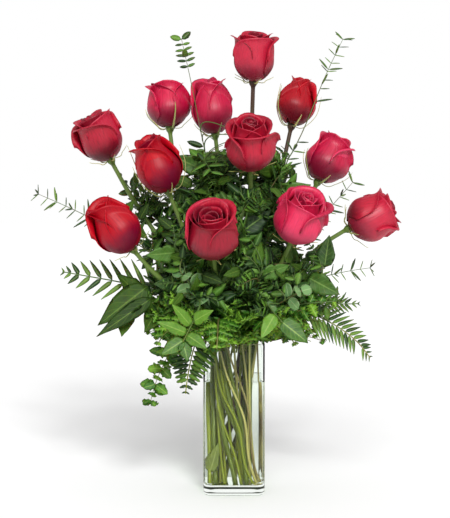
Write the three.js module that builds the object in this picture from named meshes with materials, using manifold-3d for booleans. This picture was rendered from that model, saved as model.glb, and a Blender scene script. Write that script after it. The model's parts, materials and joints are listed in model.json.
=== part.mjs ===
// A dozen red roses with mixed greenery, standing in a tall square glass vase of water.
// Units are millimetres, +Z is up, the origin is the centre of the vase's base, and -Y is the front.
import * as THREE from "three";
import Module from "manifold-3d";

const wasm = await Module();
wasm.setup();

// ---------------------------------------------------------------- driving dimensions
const VASE = { side: 80, height: 200, wall: 4, floor: 14, cornerRadius: 10, heel: 7, lip: 1.5, cornerPoints: 4 };
const WATER = { level: 150, gap: 0.3 };
const MOUTH = { cells: 3, pitch: 10, reach: 0.3, furthest: 42, twist: Math.PI / 2 };
const STEM = { footGap: 1.3, upperSteps: 6, settleRounds: 80, gap: 1.4, holeGap: 0.35, headGap: 3, rimRadius: 4.5,
  archBelow: 330 };
const ROSE_STEM = { foot: 3.2, top: 2.8, sides: 5, below: 11, hip: [[-6.5, 3.2], [-4.6, 5.2], [-0.5, 5.4]] };
const GREEN_STEM = { foot: 1.9, top: 0.9, nodeLength: 2.4 };
const BLADE = { petal: 1.1, leaf: 0.8, testMargin: 0.7 };

// Each rose: where its stem meets the head, the way the head points, its length and width,
// how far it has opened (0 is a bud), and the turn of its first petal about its own axis.
const ROSES = [
  { name: "rose_01", at: [25, 20, 537], axis: [0.03, -0.12, 0.99], length: 66, width: 54, open: 0.5, turn: 20 },
  { name: "rose_02", at: [-85, 72, 475], axis: [-0.08, 0.12, 0.99], length: 64, width: 58, open: 0.45, turn: 100 },
  { name: "rose_03", at: [-25, 65, 467], axis: [-0.12, 0.0, 0.99], length: 76, width: 56, open: 0.35, turn: 205 },
  { name: "rose_04", at: [21, -50, 429], axis: [-0.02, -0.5, 0.86], length: 74, width: 64, open: 0.8, turn: 250 },
  { name: "rose_05", at: [77, 75, 478], axis: [0.22, 0.12, 0.97], length: 66, width: 53, open: 0.1, turn: 310 },
  { name: "rose_06", at: [-161, 15, 436], axis: [-0.42, -0.12, 0.9], length: 67, width: 56, open: 0.6, turn: 60 },
  { name: "rose_07", at: [-85, -30, 398], axis: [-0.36, -0.16, 0.92], length: 77, width: 60, open: 0.3, turn: 140 },
  { name: "rose_08", at: [111, 40, 406], axis: [0.42, 0.1, 0.9], length: 68, width: 60, open: 0.35, turn: 15 },
  { name: "rose_09", at: [-130, -55, 326], axis: [-0.58, -0.22, 0.78], length: 77, width: 62, open: 0.4, turn: 80 },
  { name: "rose_10", at: [-26, -85, 324], axis: [-0.05, -0.62, 0.78], length: 72, width: 68, open: 0.75, turn: 200 },
  { name: "rose_11", at: [73, -75, 340], axis: [0.28, -0.46, 0.84], length: 72, width: 66, open: 0.65, turn: 330 },
  { name: "rose_12", at: [150, -15, 348], axis: [0.88, -0.08, 0.46], length: 66, width: 62, open: 0.55, turn: 170 },
];

// Each green stem: its kind, where its tip ends, the way the tip points, the way its leaves face,
// and the length of its leafy part. The large leaves and fronds come first and so take their room first.
const FRONT = [0, -1, 0.35];
const BACK = [0, 1, 0.35];
const GREENS = [
  { name: "sword_01", kind: "sword", tip: [-222, -15, 291], toward: [-0.97, -0.05, 0.2], face: FRONT, leafy: 145 },
  { name: "sword_02", kind: "sword", tip: [176, -25, 180], toward: [0.45, 0, -0.9], face: [0.5, -0.8, 0.4], leafy: 135 },
  { name: "sword_03", kind: "sword", tip: [164, 12, 246], toward: [0.97, 0.05, 0.1], face: [0, -0.6, 1], leafy: 125 },
  { name: "fern_01", kind: "fern", tip: [-98, -90, 206], toward: [-0.5, -0.3, -0.75], face: [-0.4, -0.7, 0.6], leafy: 130 },
  { name: "fern_02", kind: "fern", tip: [-22, -118, 206], toward: [-0.1, -0.5, -0.8], face: [0, -0.8, 0.6], leafy: 130 },
  { name: "fern_03", kind: "fern", tip: [78, -92, 206], toward: [0.5, -0.3, -0.75], face: [0.4, -0.7, 0.6], leafy: 130 },
  { name: "fern_04", kind: "fern", tip: [130, -58, 258], toward: [0.95, -0.2, 0.1], face: [0, -0.85, 0.5], leafy: 115 },
  { name: "fern_05", kind: "fern", tip: [-62, -66, 140], toward: [-0.05, -0.1, -0.99], face: [-0.2, -0.95, 0.2], leafy: 100 },
  { name: "fern_06", kind: "fern", tip: [-82, 116, 208], toward: [-0.45, 0.55, -0.7], face: [-0.5, 0.6, 0.6], leafy: 125 },
  { name: "fern_07", kind: "fern", tip: [70, 125, 210], toward: [0.4, 0.55, -0.7], face: [0.4, 0.6, 0.7], leafy: 135 },
  { name: "salal_01", kind: "salal", tip: [-140, -34, 246], toward: [-0.8, -0.1, -0.5], face: [-0.2, -0.9, 0.4], leafy: 120 },
  { name: "salal_02", kind: "salal", tip: [118, -44, 300], toward: [0.9, -0.1, 0.4], face: [0.2, -0.9, 0.4], leafy: 115 },
  { name: "salal_03", kind: "salal", tip: [34, -80, 296], toward: [0.3, -0.4, 0.85], face: [0.1, -1, 0.2], leafy: 85 },
  { name: "salal_04", kind: "salal", tip: [-74, -52, 322], toward: [-0.5, -0.3, 0.8], face: [-0.1, -1, 0.3], leafy: 100 },
  { name: "salal_05", kind: "salal", tip: [-40, 5, 424], toward: [-0.15, 0, 0.98], face: FRONT, leafy: 150 },
  { name: "salal_06", kind: "salal", tip: [60, 5, 412], toward: [0.25, 0, 0.97], face: FRONT, leafy: 150 },
  { name: "salal_07", kind: "salal", tip: [10, -40, 372], toward: [0, -0.2, 0.98], face: FRONT, leafy: 110 },
  { name: "salal_08", kind: "salal", tip: [-90, 110, 300], toward: [-0.5, 0.7, 0.4], face: [-0.2, 0.7, 0.6], leafy: 130 },
  { name: "salal_09", kind: "salal", tip: [110, 105, 290], toward: [0.6, 0.6, 0.4], face: [0.3, 0.7, 0.6], leafy: 130 },
  { name: "dollar_01", kind: "dollar", tip: [-108, -42, 124], toward: [-0.1, 0, -1], face: [-0.3, -0.9, 0.1], leafy: 120 },
  { name: "dollar_02", kind: "dollar", tip: [-66, -84, 296], toward: [-0.5, -0.5, 0.7], face: FRONT, leafy: 70 },
  { name: "dollar_03", kind: "dollar", tip: [86, -90, 276], toward: [0.7, -0.5, 0.5], face: FRONT, leafy: 70 },
  { name: "dollar_04", kind: "dollar", tip: [0, 150, 330], toward: [0, 0.8, 0.5], face: [0, 0.6, 0.8], leafy: 120 },
  { name: "myrtle_01", kind: "myrtle", tip: [-67, 55, 592], toward: [-0.4, 0.05, 0.92], face: FRONT, leafy: 215 },
  { name: "myrtle_02", kind: "myrtle", tip: [142, 95, 592], toward: [0.7, 0.1, 0.7], face: FRONT, leafy: 215 },
  { name: "myrtle_03", kind: "myrtle", tip: [-256, 5, 391], toward: [-0.92, 0, 0.38], face: FRONT, leafy: 170 },
  { name: "myrtle_04", kind: "myrtle", tip: [-150, 40, 412], toward: [-0.6, 0.1, 0.78], face: FRONT, leafy: 170 },
  { name: "myrtle_05", kind: "myrtle", tip: [158, 40, 405], toward: [0.65, 0.1, 0.75], face: FRONT, leafy: 150 },
  { name: "myrtle_06", kind: "myrtle", tip: [181, 25, 292], toward: [0.99, 0, 0.12], face: FRONT, leafy: 120 },
  { name: "myrtle_07", kind: "myrtle", tip: [-50, 125, 415], toward: [-0.3, 0.5, 0.8], face: BACK, leafy: 150 },
  { name: "myrtle_08", kind: "myrtle", tip: [60, 130, 395], toward: [0.3, 0.55, 0.78], face: BACK, leafy: 125 },
];

// A leaf: its length and width, its half widths at shares of its length, its raised edges and its bent tip.
// Along a shoot the leaves stand pitch apart, at a slant to the stem, singly or in pairs.
const SHOOTS = {
  myrtle: { length: 24, width: 10, shape: [[0.45, 1]], fold: 0, droop: 0.08, pitch: 24, slant: 58, swing: 26, pair: true },
  salal: { length: 64, width: 36, shape: [[0.38, 1], [0.72, 0.72]], fold: 0.16, droop: 0.14, pitch: 25, slant: 56,
    swing: 40, pair: false },
  dollar: { length: 27, width: 23, shape: [[0.42, 1], [0.82, 0.78]], fold: 0, droop: 0.06, pitch: 22, slant: 70,
    swing: 20, pair: true },
};
// A frond: its pairs of leaflets, the longest leaflet, its forward lean and droop, how the leaflets shorten
// towards the tip, and each one's width as a share of its pitch.
const FRONDS = {
  fern: { pairs: 8, reach: 46, lean: 0.4, droop: 0.12, taper: 0.85, waist: 0.68, rib: 1.4 },
  sword: { pairs: 10, reach: 32, lean: 0.3, droop: 0.08, taper: 0.62, waist: 0.62, rib: 1.2 },
};
// The rose head: a cup of ten sides whose petals rise from two ledges round a bud. Each layer has five petals,
// and its rows are shares of the petal's height, each with the shares of the tuck and the overlap reached there.
const HEAD = {
  sides: 10, bellyAt: 0.42, rootRadius: 0.3, neck: 0.13, lipAt: 0.78, rimDrop: 0.1, cup: [0, 0.14],
  layers: [
    { radius: 0.95, height: 0.9, roll: 96, tuck: 2.1, overlap: 6, rows: [[0.62, 0.6, 0], [0.82, 1, 0.6], [1, 1, 1]] },
    { radius: 0.68, height: 0.95, roll: 34, tuck: 1.6, overlap: 9, rows: [[0.72, 0.8, 0], [1, 1, 1]] },
  ],
  innerLedge: 0.37, bud: [[0.36, 0.49], [0.88, 0.15]], budSink: 0.2, opened: 0.35,
};
const SEPALS = { width: 5, under: 0.62, drop: 1.3, reach: 5, rise: 0.26 };

const COLOURS = {
  petal: 0xb3122c, calyx: 0x5f8a3a, myrtle: 0x2f5d2a, salal: 0x2e5f22, dollar: 0x6d8f68, fern: 0x4c8a24,
  sword: 0x3c6f2a, glass: 0xdfe9df, water: 0xe6efdf,
};

// ---------------------------------------------------------------- small helpers
const vec = (a) => new THREE.Vector3(...a);
const unit = (a) => vec(a).normalize();
const radians = (degrees) => (degrees * Math.PI) / 180;
const across = (v, along) => v.clone().addScaledVector(along, -v.dot(along)).normalize();
const around = (angle, r, z) => new THREE.Vector3(r * Math.cos(angle), r * Math.sin(angle), z);

// A number from 0 to 1 that depends only on the two numbers given.
function jitter(seed, k) {
  const wave = Math.sin(seed * 12.9898 + k * 78.233) * 43758.5453;
  return wave - Math.floor(wave);
}

// A closed surface built up from rings of points. Rings run counter-clockwise about the way they are stacked.
class Skin {
  constructor() {
    this.points = [];
    this.faces = [];
  }

  ring(points) {
    const first = this.points.length;
    this.points.push(...points);
    return points.map((_, k) => first + k);
  }

  quad(a, b, c, d) {
    this.faces.push([a, b, c], [a, c, d]);
  }

  // One side of the band between two rings, as four corners counter-clockwise from outside.
  side(lower, upper, j) {
    const m = (j + 1) % lower.length;
    return [lower[j], lower[m], upper[m], upper[j]];
  }

  // Joins two rings, leaving the sides listed in open for something to grow from.
  band(lower, upper, open = []) {
    lower.forEach((_, j) => {
      if (!open.includes(j)) this.quad(...this.side(lower, upper, j));
    });
  }

  cap(ring, atEnd) {
    for (let j = 1; j + 1 < ring.length; j++) {
      this.faces.push(atEnd ? [ring[0], ring[j], ring[j + 1]] : [ring[0], ring[j + 1], ring[j]]);
    }
  }

  // Joins a ring of four to a ring of six whose long sides have a middle point.
  widen([a, b, c, d], [p, q, r, s, t, u]) {
    this.faces.push([a, q, p], [a, b, q], [b, r, q], [b, c, s], [b, s, r]);
    this.faces.push([c, t, s], [c, d, t], [d, u, t], [d, a, p], [d, p, u]);
  }

  // Closes a blade's ring on the two points of its tip.
  pinch(ring, under, over) {
    const half = ring.length / 2;
    for (let j = 0; j + 1 < half; j++) {
      this.faces.push([ring[j], ring[j + 1], under], [ring[half + j], ring[half + j + 1], over]);
    }
    this.quad(ring[half - 1], ring[half], over, under);
    this.quad(ring[ring.length - 1], ring[0], under, over);
  }

  // Grows a blade from a root of four corners through its stations to its tip.
  blade(root, stations) {
    let ring = this.facing(root, stations[0]);
    stations.forEach(({ centre, side, up, half, lift }, k) => {
      const at = (out, over) => centre.clone().addScaledVector(side, out * half)
        .addScaledVector(up, (over * BLADE.leaf) / 2 + Math.abs(out) * lift);
      if (k === stations.length - 1) {
        this.pinch(ring, ...this.ring([at(0, -1), at(0, 1)]));
        return;
      }
      const flat = [at(-1, -1), at(1, -1), at(1, 1), at(-1, 1)];
      const folded = [at(-1, -1), at(0, -1), at(1, -1), at(1, 1), at(0, 1), at(-1, 1)];
      const next = this.ring(lift > 0 ? folded : flat);
      if (ring.length === next.length) this.band(ring, next);
      else this.widen(ring, next);
      ring = next;
    });
  }

  // Turns a root's corners round so that they lie as the corners of the blade's first section do.
  facing(root, { side, up }) {
    const middle = this.middle(root);
    const corner = [[-1, -1], [1, -1], [1, 1], [-1, 1]];
    const turned = (turn) => root.map((_, j) => root[(j + turn) % 4]);
    const match = (ids) => ids.reduce((total, id, j) => {
      const offset = this.points[id].clone().sub(middle);
      return total + corner[j][0] * offset.dot(side) + corner[j][1] * offset.dot(up);
    }, 0);
    return [0, 1, 2, 3].map(turned).reduce((best, ids) => (match(ids) > match(best) + 1e-6 ? ids : best));
  }

  middle(ids) {
    return ids.reduce((total, id) => total.add(this.points[id]), new THREE.Vector3()).divideScalar(ids.length);
  }

  solid() {
    const vertProperties = new Float32Array(this.points.flatMap((p) => [p.x, p.y, p.z]));
    return new wasm.Manifold(new wasm.Mesh({ numProp: 3, vertProperties, triVerts: new Uint32Array(this.faces.flat()) }));
  }
}

// A closed solid through rings of points.
function loft(rings) {
  const skin = new Skin();
  const ids = rings.map((ring) => skin.ring(ring));
  skin.cap(ids[0], false);
  ids.slice(1).forEach((upper, k) => skin.band(ids[k], upper));
  skin.cap(ids[ids.length - 1], true);
  return skin.solid();
}

// ---------------------------------------------------------------- stems: the plan of the bouquet
// Stems cross the vase's mouth on a square grid, and their feet stand on the same grid turned a quarter
// about the middle. Straight stems between two such grids never meet.
function takeCell(free, x, y) {
  const spread = Math.hypot(x, y);
  const share = Math.min(MOUTH.furthest, spread * MOUTH.reach) / Math.max(spread, 1e-9);
  const cost = (cell) => Math.hypot(cell[0] - x * share, cell[1] - y * share);
  const best = free.reduce((a, b) => (cost(b) < cost(a) - 1e-9 ? b : a));
  free.splice(free.indexOf(best), 1);
  return best;
}

function mouthCells() {
  const cells = [];
  for (let i = -MOUTH.cells; i <= MOUTH.cells; i++) {
    for (let j = -MOUTH.cells; j <= MOUTH.cells; j++) cells.push([i * MOUTH.pitch, j * MOUTH.pitch]);
  }
  return cells;
}

// A point of a curve that leaves a with tangent ta and reaches b with tangent tb (a cubic Hermite curve).
function hermite(a, ta, b, tb, t) {
  const t2 = t * t;
  const t3 = t2 * t;
  return new THREE.Vector3()
    .addScaledVector(a, 2 * t3 - 3 * t2 + 1)
    .addScaledVector(ta, t3 - 2 * t2 + t)
    .addScaledVector(b, 3 * t2 - 2 * t3)
    .addScaledVector(tb, t3 - t2);
}

// The straight lower part runs from foot to mouth, and the upper points run on to the stem's end, by way of
// an arch over the rim where the end hangs low.
function layStem(free, name, end, toward, radii, fixedEnds) {
  const [mx, my] = takeCell(free, end.x, end.y);
  const mouth = new THREE.Vector3(mx, my, VASE.height);
  const c = Math.cos(MOUTH.twist);
  const s = Math.sin(MOUTH.twist);
  const foot = new THREE.Vector3(c * mx - s * my, s * mx + c * my, VASE.floor + STEM.footGap);
  const span = mouth.distanceTo(end);
  const arch = Math.max(0, STEM.archBelow - end.z);
  const leave = mouth.clone().sub(foot).normalize().multiplyScalar(span * 0.8 + arch);
  const arrive = toward.clone().multiplyScalar(span * 0.9);
  const upper = [];
  for (let k = 0; k <= STEM.upperSteps; k++) upper.push(hermite(mouth, leave, end, arrive, k / STEM.upperSteps));
  return { name, foot, upper, radii, fixedEnds };
}

// Where two segments come closest: the shares along each, and the vector from the second to the first.
function closest(p, q, r, s) {
  const d1 = q.clone().sub(p);
  const d2 = s.clone().sub(r);
  const w = p.clone().sub(r);
  const a = d1.dot(d1);
  const b = d1.dot(d2);
  const c = d2.dot(d2);
  const d = d1.dot(w);
  const e = d2.dot(w);
  const det = a * c - b * b;
  const clamp = (x) => Math.min(1, Math.max(0, x));
  let u = det > 1e-6 ? clamp((b * e - c * d) / det) : 0.5;
  const v = clamp((b * u + e) / c);
  u = clamp((b * v - d) / a);
  return { u, v, apart: w.addScaledVector(d1, u).addScaledVector(d2, -v) };
}

// Adds to the pushes on a segment's two ends what moves it clear of another one, whose own pushes may be null.
function pushApart(segment, push, other, otherPush, need) {
  const near = closest(...segment, ...other);
  const gap = near.apart.length();
  if (gap >= need || gap < 1e-6) return;
  const move = near.apart.multiplyScalar(((need - gap) / gap) * (otherPush ? 0.5 : 1));
  push[0].addScaledVector(move, 1 - near.u);
  push[1].addScaledVector(move, near.u);
  if (!otherPush) return;
  otherPush[0].addScaledVector(move, near.v - 1);
  otherPush[1].addScaledVector(move, -near.v);
}

// Bends the upper parts of the stems clear of each other, of the rose heads and of the vase's rim.
function settle(stems, blocks) {
  for (let round = 0; round < STEM.settleRounds; round++) {
    const push = stems.map((stem) => stem.upper.map(() => new THREE.Vector3()));
    stems.forEach((stem, i) => {
      for (let k = 0; k + 1 < stem.upper.length; k++) {
        const segment = [stem.upper[k], stem.upper[k + 1]];
        const own = [push[i][k], push[i][k + 1]];
        for (let j = i + 1; j < stems.length; j++) {
          const need = stem.radii[0] + stems[j].radii[0] + STEM.gap;
          for (let m = 0; m + 1 < stems[j].upper.length; m++) {
            const other = [stems[j].upper[m], stems[j].upper[m + 1]];
            pushApart(segment, own, other, [push[j][m], push[j][m + 1]], need);
          }
        }
        for (const block of blocks) {
          if (block.owner !== stem.name) pushApart(segment, own, block.ends, null, stem.radii[0] + block.radius);
        }
      }
    });
    stems.forEach((stem, i) => {
      const last = stem.upper.length - 1;
      for (let k = 1; k <= last - stem.fixedEnds; k++) {
        stem.upper[k].addScaledVector(push[i][k], 0.6).addScaledVector(push[i][k - 1], 0.2)
          .addScaledVector(push[i][Math.min(k + 1, last)], 0.2);
      }
    });
  }
}

// A smooth line through points (Catmull-Rom), cut into short steps, with the length to each.
function smoothLine(points, steps = 6) {
  const line = [];
  const at = (k) => points[Math.min(points.length - 1, Math.max(0, k))];
  for (let k = 0; k + 1 < points.length; k++) {
    for (let m = 0; m < steps; m++) {
      const ta = at(k + 1).clone().sub(at(k - 1)).multiplyScalar(0.5);
      const tb = at(k + 2).clone().sub(at(k)).multiplyScalar(0.5);
      line.push(hermite(at(k), ta, at(k + 1), tb, m / steps));
    }
  }
  line.push(at(points.length - 1).clone());
  const lengths = [0];
  for (let k = 1; k < line.length; k++) lengths.push(lengths[k - 1] + line[k].distanceTo(line[k - 1]));
  return { line, lengths, steps, total: lengths[lengths.length - 1] };
}

function pointAt({ line, lengths, total }, length) {
  const s = Math.min(Math.max(length, 0), total);
  let k = 1;
  while (k < line.length - 1 && lengths[k] < s) k++;
  return line[k - 1].clone().lerp(line[k], (s - lengths[k - 1]) / (lengths[k] - lengths[k - 1]));
}

// Gives points along a stem their directions, carried back from the tip without twisting: the way along,
// the way its leaves face, and the way to its left.
function carryFrames(points, face) {
  let normal = face;
  const frames = points.map((point, k) => {
    const before = points[Math.max(0, k - 1)];
    const after = points[Math.min(points.length - 1, k + 1)];
    return { point, along: after.clone().sub(before).normalize() };
  });
  for (let k = frames.length - 1; k >= 0; k--) {
    normal = across(normal, frames[k].along);
    frames[k].normal = normal;
    frames[k].left = normal.clone().cross(frames[k].along);
  }
  return frames;
}

const roundRing = ({ point, normal, left }, radius, sides, start = 0) => Array.from({ length: sides }, (_, j) => {
  const angle = start + (2 * Math.PI * j) / sides;
  return point.clone().addScaledVector(left, radius * Math.cos(angle)).addScaledVector(normal, radius * Math.sin(angle));
});

// ---------------------------------------------------------------- the rose head
// How far out and up a petal's outer face is at share v of its height: a full belly, a slight neck, a rolled lip.
function petalProfile(v, radius, height, roll) {
  const body = Math.min(v, HEAD.lipAt);
  let out = 1 - (HEAD.neck * (1 - Math.cos((Math.PI * (body - HEAD.bellyAt)) / (HEAD.lipAt - HEAD.bellyAt)))) / 2;
  if (body < HEAD.bellyAt) {
    out = HEAD.rootRadius + (1 - HEAD.rootRadius) * Math.sin((Math.PI / 2) * (body / HEAD.bellyAt));
  }
  if (v <= HEAD.lipAt) return new THREE.Vector2(radius * out, height * v);
  const bend = ((1 - HEAD.lipAt) * height) / roll;
  const angle = (roll * (v - HEAD.lipAt)) / (1 - HEAD.lipAt);
  return new THREE.Vector2(radius * out + bend * (1 - Math.cos(angle)), height * HEAD.lipAt + bend * Math.sin(angle));
}

// One petal over two sides of a ledge. Its right edge stands out over the next petal and its left one is tucked in.
function petal(skin, rose, layer, outerRoot, innerRoot, middle, shorter) {
  const radius = (rose.width / 2) * layer.radius;
  const height = rose.length * layer.height;
  const opened = HEAD.opened + (1 - HEAD.opened) * rose.open;
  const outer = [outerRoot];
  const inner = [innerRoot];
  for (const [share, tucked, overlapped] of layer.rows) {
    const row = [-1, 0, 1].map((u) => {
      const v = share * shorter * (1 - HEAD.rimDrop * Math.abs(u));
      const roll = radians(layer.roll) * opened * (1 + 0.25 * u);
      const at = petalProfile(v, radius, height, roll);
      const slope = petalProfile(v + 0.01, radius, height, roll).sub(petalProfile(v - 0.01, radius, height, roll)).normalize();
      const angle = middle + u * radians(360 / HEAD.sides - 1.5 + (layer.overlap + 1.5) * overlapped);
      const layered = (out) => around(angle, at.x + out * slope.y, at.y - out * slope.x);
      return [layered(layer.tuck * tucked * u), layered(layer.tuck * tucked * u - BLADE.petal)];
    });
    outer.push(skin.ring(row.map(([face]) => face)));
    inner.push(skin.ring(row.map(([, back]) => back)));
  }
  for (let i = 0; i < layer.rows.length; i++) {
    for (let j = 0; j < 2; j++) {
      const [a, b, c, d] = [outer[i][j], outer[i][j + 1], outer[i + 1][j + 1], outer[i + 1][j]];
      const [e, f, g, h] = [inner[i][j], inner[i][j + 1], inner[i + 1][j + 1], inner[i + 1][j]];
      skin.faces.push([a, b, c], [a, c, d], [e, g, f], [e, h, g]);
    }
    skin.quad(outer[i][0], outer[i + 1][0], inner[i + 1][0], inner[i][0]);
    skin.quad(outer[i + 1][2], outer[i][2], inner[i][2], inner[i + 1][2]);
  }
  const [rim, back] = [outer[layer.rows.length], inner[layer.rows.length]];
  for (let j = 0; j < 2; j++) skin.quad(rim[j], rim[j + 1], back[j + 1], back[j]);
}

function roseHead(rose, seed) {
  const skin = new Skin();
  const half = rose.width / 2;
  const step = (2 * Math.PI) / HEAD.sides;
  const ring = (r, z) => skin.ring(Array.from({ length: HEAD.sides }, (_, j) => around(j * step, r, z)));
  const [outside, inside] = HEAD.layers;
  let last = null;
  for (const v of HEAD.cup) {
    const { x, y } = petalProfile(v, half * outside.radius, rose.length * outside.height, 1);
    const next = ring(x, y);
    if (last) skin.band(last, next);
    else skin.cap(next, false);
    last = next;
  }
  const ledges = [
    { layer: outside, rise: HEAD.bellyAt * outside.height, first: 0 },
    { layer: inside, rise: HEAD.innerLedge, first: 1 },
  ];
  for (const { layer, rise, first } of ledges) {
    const outer = ring(half * layer.radius, rose.length * rise);
    const inner = ring(half * layer.radius - BLADE.petal, rose.length * rise);
    skin.band(last, outer);
    for (let k = first; k < HEAD.sides; k += 2) {
      const pick = (ids) => [0, 1, 2].map((j) => ids[(k + j) % HEAD.sides]);
      petal(skin, rose, layer, pick(outer), pick(inner), (k + 1) * step, 1 - 0.01 * jitter(seed, k));
    }
    last = inner;
  }
  for (const [rise, out] of HEAD.bud) {
    const sunk = 1 - HEAD.budSink * rose.open * (rise - HEAD.bud[0][0]);
    const next = ring(half * out, rose.length * rise * sunk);
    skin.band(last, next);
    last = next;
  }
  skin.cap(last, true);
  const tilt = new THREE.Quaternion().setFromUnitVectors(new THREE.Vector3(0, 0, 1), unit(rose.axis));
  const spin = new THREE.Quaternion().setFromAxisAngle(new THREE.Vector3(0, 0, 1), radians(rose.turn));
  const place = new THREE.Matrix4().compose(vec(rose.at), tilt.multiply(spin), new THREE.Vector3(1, 1, 1));
  skin.points.forEach((p) => p.applyMatrix4(place));
  return skin;
}

// ---------------------------------------------------------------- keeping pieces apart
// What stands where: pieces that everyone else keeps clear of, and pieces that their own owner's leaves do too.
const placed = [];

function remember(owner, solid, { forOthers = true, forOwner = false } = {}) {
  placed.push({ owner, solid, box: solid.boundingBox(), forOthers, forOwner });
}

function isClear(solid, counts) {
  const box = solid.boundingBox();
  const misses = (other) => [0, 1, 2].some((k) => box.min[k] > other.max[k] || other.min[k] > box.max[k]);
  return placed.filter(counts).every((item) => misses(item.box) || solid.intersect(item.solid).isEmpty());
}

// Two copies of a leaf as a widened solid of its own, moved a little to each side of it: the room that it needs.
// The share says how much of the way back to its stem they cover.
function testLeaves(stations, share) {
  const [first, second] = stations;
  const back = first.centre.clone().sub(second.centre).normalize().multiplyScalar(first.reach * share);
  const half = first.half * (1 - share) + first.root * share;
  const corner = (a, b) => first.centre.clone().add(back).addScaledVector(first.side, a * half)
    .addScaledVector(first.up, b);
  const skin = new Skin();
  const root = skin.ring([corner(-1, -0.8), corner(1, -0.8), corner(1, 0.8), corner(-1, 0.8)]);
  skin.cap(root, false);
  skin.blade(root, stations.map((station) => ({ ...station, half: station.half + BLADE.testMargin })));
  const solid = skin.solid();
  return [1, -1].map((s) => solid.translate(first.up.clone().multiplyScalar(s * BLADE.testMargin).toArray()));
}

// Keeps the room of a leaf if it is free.
function claim(owner, stations) {
  const whole = testLeaves(stations, 0.8);
  const outer = testLeaves(stations, 0.4);
  const others = (item) => item.forOthers && item.owner !== owner;
  const own = (item) => item.forOwner && item.owner === owner;
  if (!whole.every((solid) => isClear(solid, others)) || !outer.every((solid) => isClear(solid, own))) return false;
  whole.forEach((solid) => remember(owner, solid));
  outer.forEach((solid) => remember(owner, solid, { forOthers: false, forOwner: true }));
  return true;
}

// ---------------------------------------------------------------- shoots
// The sections of a leaf that leaves a stem at a slant, outwards. Its face is turned the way the shoot faces,
// or up along the stem where it would stand edge on.
function leafStations(spec, frame, outward, size) {
  const { point, along, normal } = frame;
  const slant = radians(spec.slant);
  const x = along.clone().multiplyScalar(Math.cos(slant)).addScaledVector(outward, Math.sin(slant));
  const up = across(Math.abs(outward.dot(normal)) > 0.7 ? along : normal, x);
  const side = up.clone().cross(x);
  const length = spec.length * size;
  return [...spec.shape, [1, 0]].map(([share, wide]) => {
    const half = (wide * spec.width * size) / 2;
    const centre = point.clone().addScaledVector(x, share * length)
      .addScaledVector(up, -spec.droop * length * share * share);
    return { centre, side, up, half, lift: spec.fold * half, reach: spec.shape[0][0] * length, root: 1.2 };
  });
}

// A leaf that would cross another piece is swung round its stem, and left out if no swing clears it.
function roomFor(green, frame, spec, quarter, size, lean) {
  for (const turn of [0, 15, -15, 28, -28]) {
    const angle = (quarter * Math.PI) / 2 + radians(spec.swing * lean + turn);
    const outward = frame.left.clone().multiplyScalar(Math.cos(angle)).addScaledVector(frame.normal, Math.sin(angle));
    const stations = leafStations(spec, frame, outward, size);
    if (claim(green.name, stations)) return stations;
  }
  return null;
}

// A shoot's skin: its stem, with a short node wherever leaves stand, and the leaves grown from the node's sides.
function shoot(green, stem, spec, seed) {
  const { path } = stem;
  const count = Math.floor((path.total - stem.leafStart) / spec.pitch);
  const lower = stem.upper.filter((_, k) => path.lengths[k * path.steps] < stem.leafStart - 10);
  const nodeEnds = Array.from({ length: count + 1 }, (_, k) => path.total - 1.5 - (count - k) * spec.pitch);
  const nodePoints = nodeEnds.flatMap((s) => [s - GREEN_STEM.nodeLength, s]).map((s) => pointAt(path, s));
  const frames = carryFrames([stem.foot, ...lower, ...nodePoints, pointAt(path, path.total)], unit(green.face));
  const radius = (k) => GREEN_STEM.foot + ((GREEN_STEM.top - GREEN_STEM.foot) * k) / frames.length;
  const skin = new Skin();
  const rings = frames.map((frame, k) => skin.ring(roundRing(frame, radius(k), 4, Math.PI / 4)));
  const firstNode = 1 + lower.length;
  for (let k = 0; k + 1 < rings.length; k++) {
    const index = (k - firstNode) / 2;
    const open = [];
    if (index >= 0 && index <= count && Number.isInteger(index)) {
      const size = (0.66 + 0.34 * Math.min(1, (count - index) / 3)) * (0.92 + 0.16 * jitter(seed, index));
      const quarters = spec.pair ? [index % 2, (index % 2) + 2] : [(index % 2) * 2];
      for (const quarter of quarters) {
        const stations = roomFor(green, frames[k], spec, quarter, size, jitter(seed, index + 40) - 0.5);
        if (stations) open.push({ side: (quarter + 3) % 4, stations });
      }
    }
    skin.band(rings[k], rings[k + 1], open.map(({ side }) => side));
    for (const { side, stations } of open) skin.blade(skin.side(rings[k], rings[k + 1], side), stations);
  }
  skin.cap(rings[0], false);
  skin.cap(rings[rings.length - 1], true);
  return skin;
}

// ---------------------------------------------------------------- fronds
function leafletStations(spec, frame, next, share, sign, step) {
  const x = frame.left.clone().multiplyScalar(sign).addScaledVector(frame.along, spec.lean).normalize();
  const up = across(frame.normal, x);
  const side = up.clone().cross(x);
  const start = frame.point.clone().lerp(next.point, 0.5);
  const reach = spec.reach * Math.min(1, 0.72 + 2 * share) * (1 - share) ** spec.taper + 4;
  return [[0.5, 1], [1, 0]].map(([way, wide]) => ({
    centre: start.clone().addScaledVector(x, way * reach).addScaledVector(up, -spec.droop * reach * way * way),
    side, up, half: (wide * spec.waist * step) / 2, lift: 0, reach: reach / 2, root: step / 2,
  }));
}

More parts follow.
